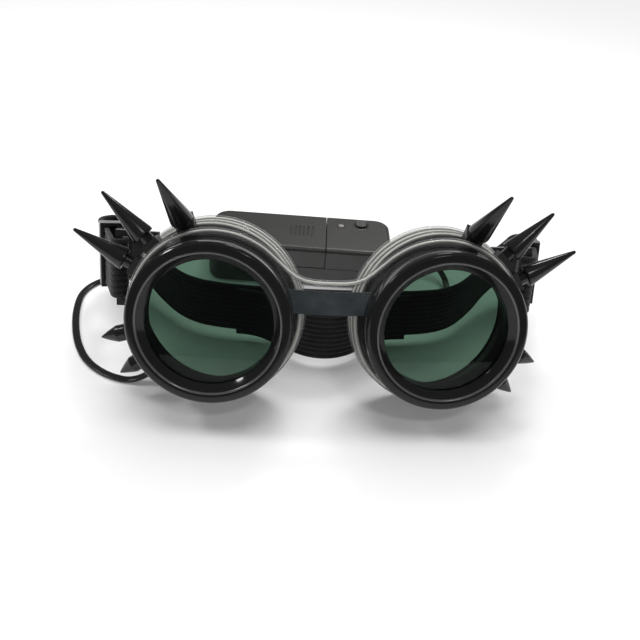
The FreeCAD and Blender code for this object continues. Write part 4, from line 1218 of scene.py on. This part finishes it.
@dataclass
class Studio:
    """Camera, floor and lights: the camera in millimetres and degrees, the rest in metres."""

    stance: Stance
    camera_place: tuple[float, float, float] = (-18.2, -181.7, 178.6)
    camera_datum: float = 40.0
    focal_length: float = 36.0
    sensor_width: float = 36.0
    near_limit: float = 0.01
    yaw: float = 4.52
    pitch: float = 36.35
    roll: float = -4.82
    floor_half: float = 4.0
    floor_shade: float = 0.86
    floor_roughness: float = 0.9
    floor_glow: float = 0.14
    fill: float = 0.16
    sun_energy: float = 2.7
    sun_angle: float = 50.0
    sun_place: tuple[float, float, float] = (0.1, 0.5, 1.6)
    box_aspect: float = 0.6

    def camera(self) -> None:
        """Put the camera where the photograph was taken from."""
        data = bpy.data.cameras.new("camera")
        data.lens = self.focal_length
        data.sensor_width = self.sensor_width
        data.sensor_fit = "HORIZONTAL"
        data.clip_start = self.near_limit
        yaw, pitch, roll = (math.radians(angle) for angle in (self.yaw, self.pitch, self.roll))
        ahead = Vector((math.sin(yaw) * math.cos(pitch), math.cos(yaw) * math.cos(pitch), -math.sin(pitch)))
        level = Vector((math.cos(yaw), -math.sin(yaw), 0.0))
        down = ahead.cross(level)
        right = level * math.cos(roll) + down * math.sin(roll)
        lower = down * math.cos(roll) - level * math.sin(roll)
        place = Matrix((right, -lower, -ahead)).transposed().to_4x4()
        x, y, z = self.camera_place
        place.translation = self.stance.table(x, y, z + self.stance.ring_height - self.camera_datum)
        camera = bpy.data.objects.new("camera", data)
        camera.matrix_world = place
        bpy.context.scene.collection.objects.link(camera)
        bpy.context.scene.camera = camera
        bpy.context.scene.view_settings.view_transform = "Standard"
        log.info("set camera")

    def floor(self) -> None:
        """Lay the pale floor, white to the camera and to reflections, with the object's shadow kept."""
        form = bmesh.new()
        bmesh.ops.create_grid(form, x_segments=1, y_segments=1, size=self.floor_half)
        mesh = bpy.data.meshes.new("floor")
        form.to_mesh(mesh)
        form.free()
        material, sketch, shader = blank_material("floor_pale")
        shader.inputs["Base Color"].default_value = (*[self.floor_shade] * 3, 1.0)
        shader.inputs["Roughness"].default_value = self.floor_roughness
        shader.inputs["Specular IOR Level"].default_value = 0.0
        rays = sketch.add("ShaderNodeLightPath")
        seen = self.seen(sketch, rays)
        share = sketch.add("ShaderNodeMath")
        share.operation = "MULTIPLY"
        share.inputs[1].default_value = self.floor_glow
        sketch.link(seen, share.inputs[0])
        glow = sketch.add("ShaderNodeEmission", Strength=1.0)
        mix = sketch.add("ShaderNodeMixShader")
        sketch.link(share.outputs["Value"], mix.inputs["Fac"])
        sketch.link(shader.outputs["BSDF"], mix.inputs[1])
        sketch.link(glow.outputs["Emission"], mix.inputs[2])
        sketch.link(mix.outputs["Shader"], material.node_tree.nodes["Material Output"].inputs["Surface"])
        mesh.materials.append(material)
        floor = bpy.data.objects.new("floor", mesh)
        bpy.context.scene.collection.objects.link(floor)
        log.info("laid floor")

    @staticmethod
    def seen(sketch: NodeSketch, rays: bpy.types.Node) -> bpy.types.NodeSocket:
        """Socket that is 1 for rays from the camera, from gloss and through glass.

        Args:
            sketch: Helper of the tree.
            rays: Light Path node of the tree.

        Returns:
            Output socket of the last node.
        """
        total = rays.outputs["Is Camera Ray"]
        for name in ("Is Glossy Ray", "Is Transmission Ray"):
            larger = sketch.add("ShaderNodeMath")
            larger.operation = "MAXIMUM"
            sketch.link(total, larger.inputs[0])
            sketch.link(rays.outputs[name], larger.inputs[1])
            total = larger.outputs["Value"]
        return total

    def world(self) -> None:
        """Give everything a low even fill."""
        world = bpy.data.worlds.new("studio")
        world.use_nodes = True
        bpy.context.scene.world = world
        back = world.node_tree.nodes["Background"]
        back.inputs["Color"].default_value = (1.0, 1.0, 1.0, 1.0)
        back.inputs["Strength"].default_value = self.fill
        log.info("set surroundings")

    def lights(self) -> None:
        """Hang an even broad light and the soft boxes."""
        even = bpy.data.lights.new("even_light", "SUN")
        even.energy = self.sun_energy
        even.angle = math.radians(self.sun_angle)
        self.aim("even_light", even, self.sun_place, (0.0, 0.0, 0.0)).visible_glossy = False
        boxes = (
            ("back_box", (0.12, 0.42, 0.62), (0.0, 0.0, 0.03), 0.16, 1.3),
            ("left_box", (-0.5, 0.05, 0.5), (0.0, -0.02, 0.03), 0.14, 1.0),
            ("front_box", (0.2, -0.5, 0.8), (0.0, -0.03, 0.03), 0.14, 0.9),
        )
        for name, place, aim, size, power in boxes:
            data = bpy.data.lights.new(name, "AREA")
            data.shape = "RECTANGLE"
            data.size = size
            data.size_y = size * self.box_aspect
            data.energy = power
            self.aim(name, data, place, aim)

    @staticmethod
    def aim(
        name: str, data: bpy.types.Light, place: Sequence[float], target: Sequence[float]
    ) -> bpy.types.Object:
        """Hang one light and turn it to a point.

        Args:
            name: Name of the light.
            data: Lamp to hang.
            place: Where it hangs, in metres.
            target: Point that it shines at.

        Returns:
            The hung light.
        """
        light = bpy.data.objects.new(name, data)
        light.location = place
        way = Vector(target) - Vector(place)
        light.rotation_euler = way.to_track_quat("-Z", "Y").to_euler()
        bpy.context.scene.collection.objects.link(light)
        log.info("hung %s", name)
        return light


def main() -> None:
    """Build the scene: camera and lead first, then the goggles from front to back."""
    stance = Stance()
    shop = Workshop()
    studio = Studio(stance)
    studio.camera()
    SupplyLead(stance).build(shop)
    studio.floor()
    studio.world()
    studio.lights()
    for side in Side:
        EyeCup(stance, side).build(shop)
    NoseBand(stance).build(shop)
    LightWire(stance).build(shop)
    Headband(stance).build(shop)
    BatteryPack(stance).build(shop)


if __name__ == "__main__":
    main()
